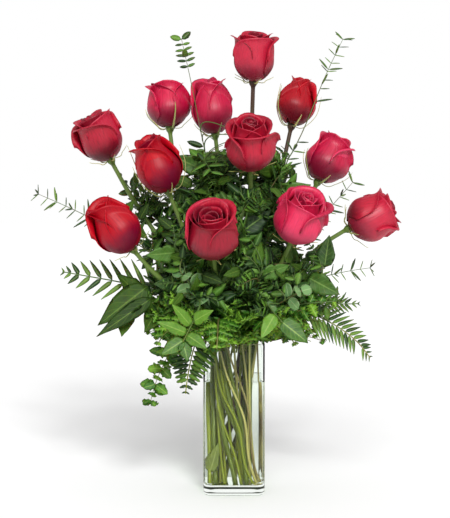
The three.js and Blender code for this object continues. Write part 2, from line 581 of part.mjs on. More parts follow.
// A frond's skin: its stalk flattens into a rib, and a leaflet grows from each side of each step of the rib.
function frond(green, stem, spec) {
  const { path, leafStart } = stem;
  const step = (path.total - leafStart) / spec.pairs;
  const stalk = [0, 0.3, 0.6, 0.9].map((share) => pointAt(path, share * leafStart));
  const rib = Array.from({ length: spec.pairs + 1 }, (_, k) => pointAt(path, leafStart + k * step));
  const frames = carryFrames([stem.foot, ...stalk, ...rib], unit(green.face));
  const first = 1 + stalk.length;
  const skin = new Skin();
  const rings = frames.map((frame, k) => {
    if (k < first) return skin.ring(roundRing(frame, GREEN_STEM.foot - 0.12 * k, 4, Math.PI / 4));
    const wide = spec.rib * (1 - (0.55 * (k - first)) / spec.pairs);
    const corner = (a, b) => frame.point.clone().addScaledVector(frame.left, a * wide).addScaledVector(frame.normal, b * 0.8);
    return skin.ring([corner(1, 1), corner(-1, 1), corner(-1, -1), corner(1, -1)]);
  });
  for (let k = 0; k + 1 < rings.length; k++) {
    const open = [];
    for (const sign of k >= first ? [1, -1] : []) {
      const stations = leafletStations(spec, frames[k], frames[k + 1], (k - first + 0.5) / spec.pairs, sign, step);
      if (claim(green.name, stations)) open.push({ side: sign > 0 ? 3 : 1, stations });
    }
    skin.band(rings[k], rings[k + 1], open.map(({ side }) => side));
    for (const { side, stations } of open) skin.blade(skin.side(rings[k], rings[k + 1], side), stations);
  }
  skin.cap(rings[0], false);
  skin.cap(rings[rings.length - 1], true);
  return skin;
}

// ---------------------------------------------------------------- rose stems
// A rose's stem swells into its hip, and five sepals grow from the hip's sides, pass under the head and turn up.
// A sepal is cut short where the bouquet leaves it no room.
function roseStem(rose, stem) {
  const axis = unit(rose.axis);
  const base = vec(rose.at);
  const hip = ROSE_STEM.hip.map(([back]) => base.clone().addScaledVector(axis, back));
  const frames = carryFrames([stem.foot, ...stem.upper, ...hip], across(new THREE.Vector3(0, -1, 0), axis));
  const radius = (k) => {
    const past = k - 1 - stem.upper.length;
    if (past >= 0) return ROSE_STEM.hip[past][1];
    return ROSE_STEM.foot + ((ROSE_STEM.top - ROSE_STEM.foot) * k) / stem.upper.length;
  };
  const skin = new Skin();
  const rings = frames.map((frame, k) => skin.ring(roundRing(frame, radius(k), ROSE_STEM.sides)));
  const last = rings.length - 1;
  for (let k = 0; k + 1 < last; k++) skin.band(rings[k], rings[k + 1]);
  skin.cap(rings[0], false);
  skin.cap(rings[last], true);
  const half = rose.width / 2;
  for (let j = 0; j < ROSE_STEM.sides; j++) {
    const root = skin.side(rings[last - 1], rings[last], j);
    const middle = skin.middle(root);
    const out = across(middle.clone().sub(base), axis);
    const at = (r, z) => base.clone().addScaledVector(out, r).addScaledVector(axis, z);
    const under = at(half * SEPALS.under, -SEPALS.drop);
    const sepal = [1, 0.5, 0.1].map((share) => {
      const tip = under.clone().lerp(at(half + SEPALS.reach, rose.length * SEPALS.rise), share);
      const x = tip.clone().sub(middle).normalize();
      const up = across(axis, x);
      const size = { side: up.clone().cross(x), up, lift: 0, reach: half * SEPALS.under - ROSE_STEM.hip[1][1], root: 2.4 };
      return [{ centre: under, half: SEPALS.width / 2, ...size }, { centre: tip, half: 0, ...size }];
    }).find((stations) => claim(rose.name, stations));
    if (sepal) skin.blade(root, sepal);
    else skin.quad(...root);
  }
  return skin;
}

// ---------------------------------------------------------------- the vase and the water
function squareRing(half, radius, z) {
  const ring = [];
  for (const [k, [sx, sy]] of [[1, 1], [-1, 1], [-1, -1], [1, -1]].entries()) {
    for (let j = 0; j < VASE.cornerPoints; j++) {
      const angle = ((k + j / (VASE.cornerPoints - 1)) * Math.PI) / 2;
      ring.push(around(angle, radius, z).add(vec([sx * (half - radius), sy * (half - radius), 0])));
    }
  }
  return ring;
}

function vase() {
  const { side, height, wall, floor, cornerRadius, heel, lip } = VASE;
  const half = side / 2;
  const heelIn = heel * (1 - Math.SQRT1_2);
  return loft([
    squareRing(half - heel, cornerRadius, 0),
    squareRing(half - heelIn, cornerRadius, heelIn),
    squareRing(half, cornerRadius, heel),
    squareRing(half, cornerRadius, height - lip),
    squareRing(half - lip, cornerRadius - lip, height),
    squareRing(half - wall + lip, cornerRadius - wall + lip, height),
    squareRing(half - wall, cornerRadius - wall, height - lip),
    squareRing(half - wall, cornerRadius - wall, floor),
  ]);
}

// The water fills the vase to its level, with a plain hole for each stem.
function water(stems) {
  const half = VASE.side / 2 - VASE.wall - WATER.gap;
  const radius = VASE.cornerRadius - VASE.wall;
  const block = loft([squareRing(half, radius, VASE.floor + WATER.gap), squareRing(half, radius, WATER.level)]);
  return stems.reduce((whole, stem) => {
    const along = stem.upper[0].clone().sub(stem.foot).normalize();
    const ends = [stem.foot.clone().addScaledVector(along, -6), stem.upper[0].clone().addScaledVector(along, 6)];
    const wide = (stem.radii[0] + STEM.holeGap) / Math.cos(Math.PI / stem.holeSides);
    const rings = carryFrames(ends, new THREE.Vector3(0, -1, 0)).map((frame) => roundRing(frame, wide, stem.holeSides));
    return whole.subtract(loft(rings));
  }, block);
}

// ---------------------------------------------------------------- laying out the bouquet
const free = mouthCells();
const roseStems = ROSES.map((rose) => {
  const axis = unit(rose.axis);
  const end = vec(rose.at).addScaledVector(axis, -ROSE_STEM.below);
  return { ...layStem(free, rose.name, end, axis, [ROSE_STEM.foot, ROSE_STEM.top], 1), holeSides: 6 };
});
const greenStems = GREENS.map((green) => (
  { ...layStem(free, green.name, vec(green.tip), unit(green.toward), [GREEN_STEM.foot, GREEN_STEM.top], 0), holeSides: 4 }
));
const headBlocks = ROSES.map((rose) => {
  const along = (share) => vec(rose.at).addScaledVector(unit(rose.axis), rose.length * share);
  return { owner: rose.name, ends: [along(0.35), along(0.65)], radius: rose.width / 2 + STEM.headGap };
});
const rimLine = VASE.side / 2 - VASE.wall / 2;
const rimCorners = [[-1, -1], [1, -1], [1, 1], [-1, 1]].map(([x, y]) => vec([x * rimLine, y * rimLine, VASE.height - 2]));
const rimBlocks = rimCorners.map((corner, k) => (
  { owner: "rim", ends: [corner, rimCorners[(k + 1) % 4]], radius: STEM.rimRadius }
));
settle([...roseStems, ...greenStems], [...headBlocks, ...rimBlocks]);

const nodes = [];

function addNode(name, solid, colour, looks = {}) {
  const mesh = solid.getMesh();
  const positions = new Float32Array(mesh.numVert * 3);
  for (let k = 0; k < mesh.numVert; k++) {
    positions.set(mesh.vertProperties.subarray(k * mesh.numProp, k * mesh.numProp + 3), k * 3);
  }
  const geometry = new THREE.BufferGeometry();
  geometry.setAttribute("position", new THREE.BufferAttribute(positions, 3));
  geometry.setIndex(new THREE.BufferAttribute(mesh.triVerts, 1));
  const material = new THREE.MeshStandardMaterial({ color: colour, roughness: 0.6, metalness: 0, ...looks });
  const node = new THREE.Mesh(geometry, material);
  node.name = name;
  nodes.push(node);
}

// The vase, the heads and every bare stem come first, so that leaves can be laid clear of all of them.
const vaseSolid = vase();
remember("vase", vaseSolid);
greenStems.forEach((stem, k) => {
  stem.path = smoothLine(stem.upper);
  stem.leafStart = Math.max(24, stem.path.total - GREENS[k].leafy);
});
for (const stem of [...roseStems, ...greenStems]) {
  const line = stem.path
    ? Array.from({ length: 14 }, (_, m) => pointAt(stem.path, (stem.path.total * m) / 13))
    : stem.upper;
  const frames = carryFrames([stem.foot, ...line], new THREE.Vector3(0, -1, 0.01));
  remember(stem.name, loft(frames.map((frame) => roundRing(frame, stem.radii[0] + 0.4, 5))), { forOwner: true });
}
ROSES.forEach((rose, k) => {
  const head = roseHead(rose, k + 1).solid();
  remember(rose.name, head);
  addNode(rose.name + "_head", head, COLOURS.petal, { roughness: 0.55 });
});
ROSES.forEach((rose, k) => addNode(rose.name + "_stem", roseStem(rose, roseStems[k]).solid(), COLOURS.calyx));
GREENS.forEach((green, k) => {
  const stem = greenStems[k];
  const skin = FRONDS[green.kind]
    ? frond(green, stem, FRONDS[green.kind])
    : shoot(green, stem, SHOOTS[green.kind], k + 1);
  addNode(green.name, skin.solid(), COLOURS[green.kind]);
});
addNode("vase", vaseSolid, COLOURS.glass, { roughness: 0.05, transparent: true, opacity: 0.35 });
addNode("water", water([...roseStems, ...greenStems]), COLOURS.water, { roughness: 0.02, transparent: true, opacity: 0.3 });

const rosesInVase = new THREE.Group();
rosesInVase.add(...nodes);

export default rosesInVase;
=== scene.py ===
"""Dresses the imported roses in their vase: blooms, stalks, greenery, glass, water, floor, light and camera.

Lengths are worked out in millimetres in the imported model's frame (the origin is the middle of the vase's
underside, +Z is up and -Y is the front) and are turned into metres when a mesh is made.
"""

from __future__ import annotations

import json
import logging
import math
from dataclasses import dataclass, field
from enum import Enum

import bmesh
import bpy
import numpy as np
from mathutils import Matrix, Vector


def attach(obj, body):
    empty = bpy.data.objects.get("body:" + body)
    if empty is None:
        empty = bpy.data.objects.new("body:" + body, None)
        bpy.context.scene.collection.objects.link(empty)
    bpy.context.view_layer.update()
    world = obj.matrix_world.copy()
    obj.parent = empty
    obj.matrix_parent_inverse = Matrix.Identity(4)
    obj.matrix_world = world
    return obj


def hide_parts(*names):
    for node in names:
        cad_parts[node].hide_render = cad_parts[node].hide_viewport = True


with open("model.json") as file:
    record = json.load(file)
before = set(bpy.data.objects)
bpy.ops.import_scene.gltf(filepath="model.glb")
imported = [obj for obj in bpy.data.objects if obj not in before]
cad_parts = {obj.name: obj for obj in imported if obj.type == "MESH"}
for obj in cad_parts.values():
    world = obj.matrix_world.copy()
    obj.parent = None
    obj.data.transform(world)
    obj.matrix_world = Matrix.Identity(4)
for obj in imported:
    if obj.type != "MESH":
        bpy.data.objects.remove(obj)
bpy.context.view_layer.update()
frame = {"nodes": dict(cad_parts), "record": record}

Array = np.ndarray
Triple = tuple[float, float, float]
Screen = tuple[int, int, int]
Colour = tuple[float, float, float, float]
Draw = np.random.Generator
LOG = logging.getLogger("roses")
MM = 0.001
TURN = 2 * math.pi
FRONT = (0.0, -1.0, 0.35)


# --- small helpers
def unit(v: Array) -> Array:
    """Vectors along the last axis, at length one."""
    return v / np.maximum(np.linalg.norm(v, axis=-1, keepdims=True), 1e-9)


def dot(a: Array, b: Array) -> Array:
    """Dot product along the last axis, which is kept."""
    return (a * b).sum(-1, keepdims=True)


def across(v: Array, along: Array) -> Array:
    """The part of v square to a unit vector, at length one."""
    return unit(v - dot(v, along) * along)


def ease(x: Array, low: float, high: float) -> Array:
    """Goes smoothly from 0 at low to 1 at high: t * t * (3 - 2 t)."""
    t = np.clip((x - low) / (high - low), 0.0, 1.0)
    return t * t * (3 - 2 * t)


def linear(screen: Screen) -> Colour:
    """Turns a screen colour into the linear one that shaders use, by the usual curve: a straight line near
    black, and above it a power of 2.4.

    Args:
        screen: red, green and blue from 0 to 255.

    Returns:
        Linear red, green, blue and an alpha of 1.
    """
    shares = [c / 255 for c in screen]
    r, g, b = (s / 12.92 if s <= 0.04045 else ((s + 0.055) / 1.055) ** 2.4 for s in shares)
    return r, g, b, 1.0


def smooth_line(knots: Array, count: int, steps: int = 12) -> Array:
    """A smooth line through points (Catmull-Rom), with its points evenly spaced.

    Args:
        knots: the points to pass through, (n, 3).
        count: how many points the line gets.
        steps: how many steps each stretch is worked out in.

    Returns:
        The line, (count, 3).
    """
    padded = np.vstack([2 * knots[0] - knots[1], knots, 2 * knots[-1] - knots[-2]])
    t = np.linspace(0, 1, steps, endpoint=False)[None, :, None]
    p0, p1, p2, p3 = (padded[k : len(padded) - 3 + k][:, None, :] for k in range(4))
    fine = 0.5 * (2 * p1 + (p2 - p0) * t + (2 * p0 - 5 * p1 + 4 * p2 - p3) * t**2
                  + (3 * p1 - p0 - 3 * p2 + p3) * t**3)
    fine = np.vstack([fine.reshape(-1, 3), knots[-1]])
    return along_line(fine, np.linspace(0, reached(fine)[-1], count))


def arch(start: Array, bend: Array, end: Array, count: int) -> Array:
    """A line that leaves start towards bend and then turns to end: (1-t)^2 start + 2t(1-t) bend + t^2 end.

    Args:
        start: its first point.
        bend: the point that draws it aside.
        end: its last point.
        count: how many points it gets.

    Returns:
        The line, (count, 3).
    """
    t = np.linspace(0, 1, count)[:, None]
    return (1 - t) ** 2 * start + 2 * t * (1 - t) * bend + t**2 * end


def reached(line: Array) -> Array:
    """The length from a line's start to each of its points."""
    return np.append(0, np.cumsum(np.linalg.norm(np.diff(line, axis=0), axis=1)))


def along_line(line: Array, lengths: Array) -> Array:
    """Points of a line at given lengths from its start."""
    return np.stack([np.interp(lengths, reached(line), line[:, k]) for k in range(3)], -1)


def length_of(line: Array) -> float:
    """The length of a line of points."""
    return float(np.linalg.norm(np.diff(line, axis=0), axis=1).sum())


# --- meshes
def cells(grid: Array) -> Array:
    """The four corners of each cell of a grid of point numbers, with the face on the side of u cross v."""
    return np.stack([grid[:-1, :-1], grid[:-1, 1:], grid[1:, 1:], grid[1:, :-1]], -1).reshape(-1, 4)


@dataclass
class Shells:
    """Closed shells collected as arrays, which one mesh is made of at the end."""

    points: list[Array] = field(default_factory=list)
    quads: list[Array] = field(default_factory=list)
    triangles: list[Array] = field(default_factory=list)
    uvs: list[Array] = field(default_factory=list)
    tones: list[Array] = field(default_factory=list)
    count: int = 0

    def _take(self, points: Array, quads: Array, triangles: Array, uv: Array, tone: Array) -> None:
        """Adds a batch of shells that share their faces' layout.

        Args:
            points: (shells, points, 3).
            quads: (faces, 4), numbered within one shell.
            triangles: (faces, 3), numbered within one shell.
            uv: (points, 2), the same for each shell.
            tone: (shells,), one number from 0 to 1 for each.
        """
        shells, each = points.shape[:2]
        first = self.count + each * np.arange(shells)[:, None, None]
        self.points.append(points.reshape(-1, 3))
        self.quads.append((quads[None] + first).reshape(-1, 4))
        self.triangles.append((triangles[None] + first).reshape(-1, 3))
        self.uvs.append(np.tile(uv, (shells, 1)))
        self.tones.append(np.repeat(tone, each))
        self.count += shells * each

    def sheets(self, face: Array, back: Array, uv: Array, tone: Array) -> None:
        """Adds thin sheets. The face and the back are grids that share their border, so each is closed.

        Args:
            face: (sheets, rows, columns, 3), seen from the side of columns cross rows.
            back: the same for the other side.
            uv: (rows, columns, 2).
            tone: (sheets,).
        """
        sheets, rows, columns = face.shape[:3]
        grid = np.arange(rows * columns).reshape(rows, columns)
        other = grid.copy()
        inner = (rows - 2) * (columns - 2)
        other[1:-1, 1:-1] = rows * columns + np.arange(inner).reshape(rows - 2, columns - 2)
        quads = np.concatenate([cells(grid), cells(other)[:, ::-1]])
        points = np.concatenate([face.reshape(sheets, -1, 3), back[:, 1:-1, 1:-1].reshape(sheets, -1, 3)], 1)
        flat = np.concatenate([uv.reshape(-1, 2), uv[1:-1, 1:-1].reshape(-1, 2)])
        self._take(points, quads, np.empty((0, 3), int), flat, tone)

    def tubes(self, rings: Array, tone: Array) -> None:
        """Adds tubes closed by a flat cap at each end. Their uv is the share round and the share along.

        Args:
            rings: (tubes, stations, sides, 3), counter-clockwise about the way along.
            tone: (tubes,).
        """
        tubes, stations, sides = rings.shape[:3]
        grid = np.arange(stations * sides).reshape(stations, sides)
        closed = np.concatenate([grid, grid[:, :1]], 1)
        start, end = stations * sides, stations * sides + 1
        first, last = closed[0], closed[-1]
        caps = np.concatenate([
            np.stack([np.full(sides, start), first[1:], first[:-1]], -1),
            np.stack([np.full(sides, end), last[:-1], last[1:]], -1),
        ])
        points = np.concatenate([rings.reshape(tubes, -1, 3), rings[:, 0].mean(1)[:, None],
                                 rings[:, -1].mean(1)[:, None]], 1)
        v, u = np.meshgrid(np.linspace(0, 1, stations), np.arange(sides) / sides, indexing="ij")
        uv = np.concatenate([np.stack([u, v], -1).reshape(-1, 2), [[0.5, 0.0], [0.5, 1.0]]])
        self._take(points, cells(closed), caps, uv, tone)

    def build(self, name: str, finish: Finish) -> bpy.types.Object:
        """Makes the object, with its uv map, its tones and its material.

        Args:
            name: the piece's name.
            finish: what gives its material.

        Returns:
            The object, at the origin, with its place in its mesh.
        """
        points = np.concatenate(self.points) * MM
        quads, triangles = np.concatenate(self.quads), np.concatenate(self.triangles)
        corners = np.concatenate([quads.ravel(), triangles.ravel()]).astype(np.int32)
        starts = np.concatenate([4 * np.arange(len(quads)), 4 * len(quads) + 3 * np.arange(len(triangles))])
        mesh = bpy.data.meshes.new(name)
        mesh.vertices.add(len(points))
        mesh.vertices.foreach_set("co", points.astype(np.float32).ravel())
        mesh.loops.add(len(corners))
        mesh.loops.foreach_set("vertex_index", corners)
        mesh.polygons.add(len(starts))
        mesh.polygons.foreach_set("loop_start", starts.astype(np.int32))
        mesh.polygons.foreach_set("use_smooth", np.ones(len(starts), bool))
        mesh.update(calc_edges=True)
        uv = mesh.uv_layers.new(name="UVMap")
        uv.data.foreach_set("uv", np.concatenate(self.uvs)[corners].astype(np.float32).ravel())
        tone = mesh.attributes.new("tone", "FLOAT", "POINT")
        tone.data.foreach_set("value", np.concatenate(self.tones).astype(np.float32))
        mesh.materials.append(finish.material())
        made = bpy.data.objects.new(name, mesh)
        bpy.context.scene.collection.objects.link(made)
        return made


def dress(shells: Shells, name: str, slot: str, finish: Finish, *nodes: str) -> None:
    """Makes a piece of the object, which rides on its one body and stands for the CAD nodes named.

    Args:
        shells: the piece's shells.
        name: its name.
        slot: the record's material slot; not used.
        finish: its finish.
        nodes: the CAD nodes that it replaces.
    """
    piece = shells.build(name, finish)
    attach(piece, "root")
    if nodes:
        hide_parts(*nodes)
    LOG.info("%s: %d faces", name, len(piece.data.polygons))


# --- shader maths
@dataclass(frozen=True)
class Value:
    """A number or colour socket of a node tree, which sums are written with."""

    nodes: Nodes
    socket: bpy.types.NodeSocket

    def _maths(self, operation: str, other: object) -> Value:
        """One Math node."""
        return self.nodes.add("ShaderNodeMath", {"operation": operation}, {0: self, 1: other})

    def __add__(self, other: object) -> Value:
        """self + other."""
        return self._maths("ADD", other)

    def __sub__(self, other: object) -> Value:
        """self - other."""
        return self._maths("SUBTRACT", other)

    def __mul__(self, other: object) -> Value:
        """self * other."""
        return self._maths("MULTIPLY", other)

    def fraction(self) -> Value:
        """What is left after the whole number."""
        return self._maths("FRACT", 0.0)

    def size(self) -> Value:
        """The number without its sign."""
        return self._maths("ABSOLUTE", 0.0)

    def larger(self, other: Value) -> Value:
        """The larger of the two."""
        return self._maths("MAXIMUM", other)

    def between(self, low: float, high: float) -> Value:
        """Goes smoothly from 0 at low to 1 at high, or from 1 to 0 where low is the larger.

        Args:
            low: where the result is 0.
            high: where it is 1.

        Returns:
            The result, from 0 to 1.
        """
        ends = {"From Min": min(low, high), "From Max": max(low, high)}
        ends |= {"To Min": float(low > high), "To Max": float(low < high)}
        settings = {"interpolation_type": "SMOOTHSTEP"}
        return self.nodes.add("ShaderNodeMapRange", settings, {"Value": self, **ends})


@dataclass(frozen=True)
class Nodes:
    """A material's or the world's node tree, with one method that adds any node."""

    tree: bpy.types.NodeTree

    @property
    def shader(self) -> bpy.types.Node:
        """The surface shader that a new material comes with."""
        return self.tree.nodes["Principled BSDF"]

    def add(self, kind: str, settings: dict[str, object], inputs: dict[object, object],
            out: object = 0) -> Value:
        """Adds a node, sets it up and gives its sockets their values or links.

        Args:
            kind: the node's type.
            settings: its own settings, which are set first.
            inputs: the value or link of each socket, by name or number.
            out: the output that is wanted, by name or number.

        Returns:
            That output.
        """
        node = self.tree.nodes.new(kind)
        for key, value in settings.items():
            setattr(node, key, value)
        for key, value in inputs.items():
            self.feed(node.inputs[key], value)
        return Value(self, node.outputs[out])

    def feed(self, socket: bpy.types.NodeSocket, value: object) -> None:
        """Links a socket to a Value, or sets it.

        Args:
            socket: the input socket.
            value: the Value, or what the socket is all over.
        """
        if isinstance(value, Value):
            self.tree.links.new(value.socket, socket)
        else:
            socket.default_value = value

    def principled(self, **inputs: object) -> None:
        """Feeds the surface shader. A name's underscores stand for spaces."""
        for key, value in inputs.items():
            self.feed(self.shader.inputs[key.replace("_", " ")], value)

    def surface(self, shader: Value) -> None:
        """Ends the tree in a shader of the maker's own."""
        output = next(node for node in self.tree.nodes if node.type.startswith("OUTPUT"))
        self.feed(output.inputs["Surface"], shader)

    def mix(self, a: object, b: object, share: object) -> Value:
        """A colour from a to b."""
        inputs = {"Factor": share, 6: a, 7: b}
        return self.add("ShaderNodeMix", {"data_type": "RGBA"}, inputs, 2)

    def place(self) -> Value:
        """Where on the object a point is, in metres."""
        return self.add("ShaderNodeTexCoord", {}, {}, "Object")

    def parts(self, vector: Value) -> tuple[Value, Value, Value]:
        """The x, y and z of a vector.

        Args:
            vector: the vector.

        Returns:
            The three numbers.
        """
        x = self.add("ShaderNodeSeparateXYZ", {}, {0: vector})
        y, z = (Value(self, x.socket.node.outputs[k]) for k in (1, 2))
        return x, y, z

    def uv(self) -> Value:
        """Where on its own leaf or petal a point is: the share across and the share along."""
        return self.add("ShaderNodeUVMap", {"uv_map": "UVMap"}, {}, "UV")

    def tone(self) -> Value:
        """The number from 0 to 1 that each leaf or petal has for its own."""
        return self.add("ShaderNodeAttribute", {"attribute_name": "tone"}, {}, "Fac")

    def noise(self, scale: float, detail: float, stretch: Triple = (1, 1, 1),
              over: Value | None = None) -> Value:
        """Cloudy noise from 0 to 1.

        Args:
            scale: clouds in a metre, or across the uv map.
            detail: how many finer layers it has.
            stretch: how much closer it is along each axis.
            over: the coordinates, if not the object's own.

        Returns:
            The noise.
        """
        place = self.add("ShaderNodeMapping", {}, {"Vector": over or self.place(), "Scale": stretch})
        return self.add("ShaderNodeTexNoise", {}, {"Vector": place, "Scale": scale, "Detail": detail})

    def bump(self, height: Value, distance: float, strength: float) -> None:
        """Raises the surface by a height in millimetres of a given distance."""
        inputs = {"Height": height, "Distance": distance * MM, "Strength": strength}
        self.principled(Normal=self.add("ShaderNodeBump", {}, inputs))


@dataclass(frozen=True)
class Finish:
    """What a surface is made of. Each kind paints a material once. Its colours are screen colours."""

    name: str

    def paint(self, nodes: Nodes) -> None:
        """Lays out the material in its nodes."""
        raise NotImplementedError

    def material(self) -> bpy.types.Material:
        """Makes the material the first time that it is asked for.

        Returns:
            The material.
        """
        made = bpy.data.materials.get(self.name)
        if made is None:
            made = bpy.data.materials.new(self.name)
            made.use_nodes = True
            self.paint(Nodes(made.node_tree))
        return made


@dataclass(frozen=True)
class PetalFinish(Finish):
    """Velvety petals: dark at the foot in a painted shade colour, paler along the rim in a painted highlight
    colour, with fine veins that run up.
    """

    # foot is a painted shade colour and rim a painted highlight colour.
    foot: Screen
    body: Screen
    rim: Screen
    gloss: float = 0.4

    def paint(self, nodes: Nodes) -> None:
        """Colour goes from the painted shade at the foot to the body to the painted highlight at the rim,
        each petal with a little more painted highlight or painted shade than the next.

        Args:
            nodes: the material's nodes.
        """
        foot, body, rim = map(linear, (self.foot, self.body, self.rim))
        side, up, _ = nodes.parts(nodes.uv())
        tone = nodes.tone()
        cloud = nodes.noise(34, 4)
        veins = nodes.noise(7, 2, (9, 0.7, 1), nodes.uv())
        edge = ((side - 0.5).size() * 2).between(0.95, 1.0)
        top = up.between(0.97, 1.0)
        # Painted shade: the lower part of each petal takes the dark foot colour.
        colour = nodes.mix(foot, body, (up + (cloud - 0.5) * 0.5).between(0.12, 0.62))
        colour = nodes.mix(colour, foot, veins.between(0.5, 0.7) * 0.34)
        # Painted highlight: the upper part, the side edges and the top take the pale rim colour.
        colour = nodes.mix(colour, rim, veins.between(0.48, 0.3) * up * 0.3)
        colour = nodes.mix(colour, rim, (edge + top).between(0.0, 1.2) * 0.4)
        # Petals of high tone get more painted highlight, and petals of low tone more painted shade.
        colour = nodes.mix(colour, rim, tone.between(0.5, 1.0) * 0.34)
        colour = nodes.mix(colour, foot, tone.between(0.55, 0.0) * 0.7)
        nodes.principled(Base_Color=colour, Roughness=cloud * 0.2 + 0.34, Specular_IOR_Level=self.gloss,
                         Subsurface_Weight=0.06, Subsurface_Scale=0.002, Sheen_Weight=0.3,
                         Sheen_Roughness=0.45, Sheen_Tint=rim)
        nodes.bump(veins, 0.35, 0.8)


@dataclass(frozen=True)
class LeafFinish(Finish):
    """A leaf's blade, with a pale rib along its middle, side veins and a mottled green."""

    dark: Screen
    light: Screen
    vein: Screen
    side_veins: int = 0
    rough: float = 0.42
    pale_rim: float = 0.0
    gloss: float = 0.4

    def paint(self, nodes: Nodes) -> None:
        """The rib is a band round the middle of u, and the side veins are slanting stripes of v.

        Args:
            nodes: the material's nodes.
        """
        dark, light, vein = map(linear, (self.dark, self.light, self.vein))
        u, v, _ = nodes.parts(nodes.uv())
        off = (u - 0.5).size() * 2
        cloud = nodes.noise(90, 4)
        mark = off.between(0.1, 0.02)
        if self.side_veins:
            stripe = ((v * self.side_veins - off * 1.6).fraction() - 0.5).size()
            mark = mark + stripe.between(0.1, 0.0) * off.between(1.0, 0.5) * 0.45
        colour = nodes.mix(dark, light, (nodes.tone() + (cloud - 0.5) * 0.7).between(0.1, 0.95))
        colour = nodes.mix(colour, vein, mark * 0.55)
        if self.pale_rim:
            colour = nodes.mix(colour, vein, off.between(0.82, 1.0) * self.pale_rim)
        nodes.principled(Base_Color=colour, Roughness=cloud * 0.18 + self.rough,
                         Specular_IOR_Level=self.gloss, Subsurface_Weight=0.08, Subsurface_Scale=0.002)
        nodes.bump(mark + cloud * 0.5, 0.25, 0.5)


@dataclass(frozen=True)
class StalkFinish(Finish):
    """A green stalk, reddish brown in streaks, with a waxy skin, and of another colour in the vase."""

    green: Screen
    brown: Screen
    low: Screen

    def paint(self, nodes: Nodes) -> None:
        """Streaks of noise stretched along the stalk turn the green brown, and height tells what is in the
        vase.

        Args:
            nodes: the material's nodes.
        """
        green, brown, low = map(linear, (self.green, self.brown, self.low))
        streak = nodes.noise(60, 4, (1, 1, 0.12))
        speck = nodes.noise(400, 2)
        height = nodes.parts(nodes.place())[2]
        colour = nodes.mix(low, green, height.between(0.15, 0.26))
        colour = nodes.mix(colour, brown, (streak + nodes.tone() - 0.5).between(0.5, 1.0))
        colour = nodes.mix(colour, brown, speck.between(0.62, 0.75) * 0.4)
        nodes.principled(Base_Color=colour, Roughness=streak * 0.2 + 0.4, Specular_IOR_Level=0.4)
        nodes.bump(streak + speck * 0.4, 0.3, 0.5)


@dataclass(frozen=True)
class ClearFinish(Finish):
    """Clear glass or water, which lets the lamps' light and soft light straight through."""

    colour: Colour
    ior: float
    wave: float = 0.0
    bends: int = 8

    def paint(self, nodes: Nodes) -> None:
        """What is seen through it is bent, until the ray has met too many faces. Pressed glass ripples
        slightly.

        Args:
            nodes: the material's nodes.
        """
        nodes.principled(Base_Color=self.colour, Roughness=0.0, IOR=self.ior, Transmission_Weight=1.0,
                         Specular_Tint=(0.3, 0.3, 0.3, 1.0))
        if self.wave:
            nodes.bump(nodes.noise(28, 1), self.wave, 0.4)
        rays = ("Is Shadow Ray", "Is Diffuse Ray", "Ray Depth")
        lamps, soft, depth = (nodes.add("ShaderNodeLightPath", {}, {}, ray) for ray in rays)
        straight = lamps + soft + depth.between(self.bends + 0.5, self.bends + 1.5)
        bent = Value(nodes, nodes.shader.outputs[0])
        clear = nodes.add("ShaderNodeBsdfTransparent", {}, {"Color": self.colour})
        nodes.surface(nodes.add("ShaderNodeMixShader", {}, {0: straight, 1: bent, 2: clear}))


@dataclass(frozen=True)
class FloorFinish(Finish):
    """A plain pale floor, with its two linear greys."""

    light: float
    dark: float

    def paint(self, nodes: Nodes) -> None:
        """Nearly even white, with the faintest clouding.

        Args:
            nodes: the material's nodes.
        """
        light, dark = ((grey, grey, grey, 1.0) for grey in (self.light, self.dark))
        nodes.principled(Base_Color=nodes.mix(light, dark, nodes.noise(3, 2)), Roughness=0.85,
                         Specular_IOR_Level=0.1)


# Petal finishes: a painted shade colour for the foot, the body colour, and a painted highlight colour for the
# rim.
CRIMSON = PetalFinish("petals crimson", (78, 0, 20), (172, 8, 40), (206, 52, 82))
MAGENTA = PetalFinish("petals rose red", (112, 0, 36), (200, 14, 64), (230, 80, 120))
SCARLET = PetalFinish("petals scarlet", (96, 0, 36), (172, 0, 18), (196, 10, 36), 0.25)
DARK_SCARLET = PetalFinish("petals dark scarlet", (92, 0, 20), (180, 4, 24), (208, 34, 52), 0.3)
STALK = StalkFinish("rose stalk", (92, 116, 48), (66, 44, 32), (82, 92, 8))
TWIG = StalkFinish("green twig", (76, 104, 48), (98, 78, 44), (120, 126, 22))
STRAW = StalkFinish("pale twig", (76, 104, 48), (98, 78, 44), (186, 174, 104))
CALYX = LeafFinish("sepal", (136, 148, 76), (206, 202, 128), (214, 208, 150))
FERN = LeafFinish("bright fern", (52, 104, 16), (116, 164, 40), (170, 204, 96))
SWORD = LeafFinish("sword fern", (32, 66, 24), (98, 136, 50), (140, 168, 96))
SALAL = LeafFinish("broad leaf", (24, 54, 16), (72, 112, 36), (126, 158, 80), side_veins=7)
# A lighter copy of the broad leaf: painted light on the leaves that lie out in front over the collar.
LIT_BROAD = LeafFinish("bright broad leaf", (44, 84, 16), (92, 136, 36), (148, 178, 84), side_veins=7)
SHADED = LeafFinish("dark broad leaf", (32, 56, 12), (62, 94, 22), (104, 132, 50), 6, rough=0.5, gloss=0.2)
DOLLAR = LeafFinish("round grey leaf", (60, 98, 54), (110, 148, 90), (164, 188, 134), rough=0.6, pale_rim=0.7)
MYRTLE = LeafFinish("small dark leaf", (24, 56, 14), (92, 134, 46), (124, 154, 80))
RUSCUS = LeafFinish("pointed leaf", (24, 60, 12), (78, 124, 36), (124, 158, 76))
FEATHER = LeafFinish("dark fern", (22, 56, 10), (86, 130, 34), (120, 156, 66))
SOAKED = LeafFinish("leaf in water", (72, 84, 30), (124, 132, 58), (182, 184, 120), side_veins=6)
GLASS = ClearFinish("clear glass", (0.94, 0.98, 0.94, 1.0), 1.45, 0.12)
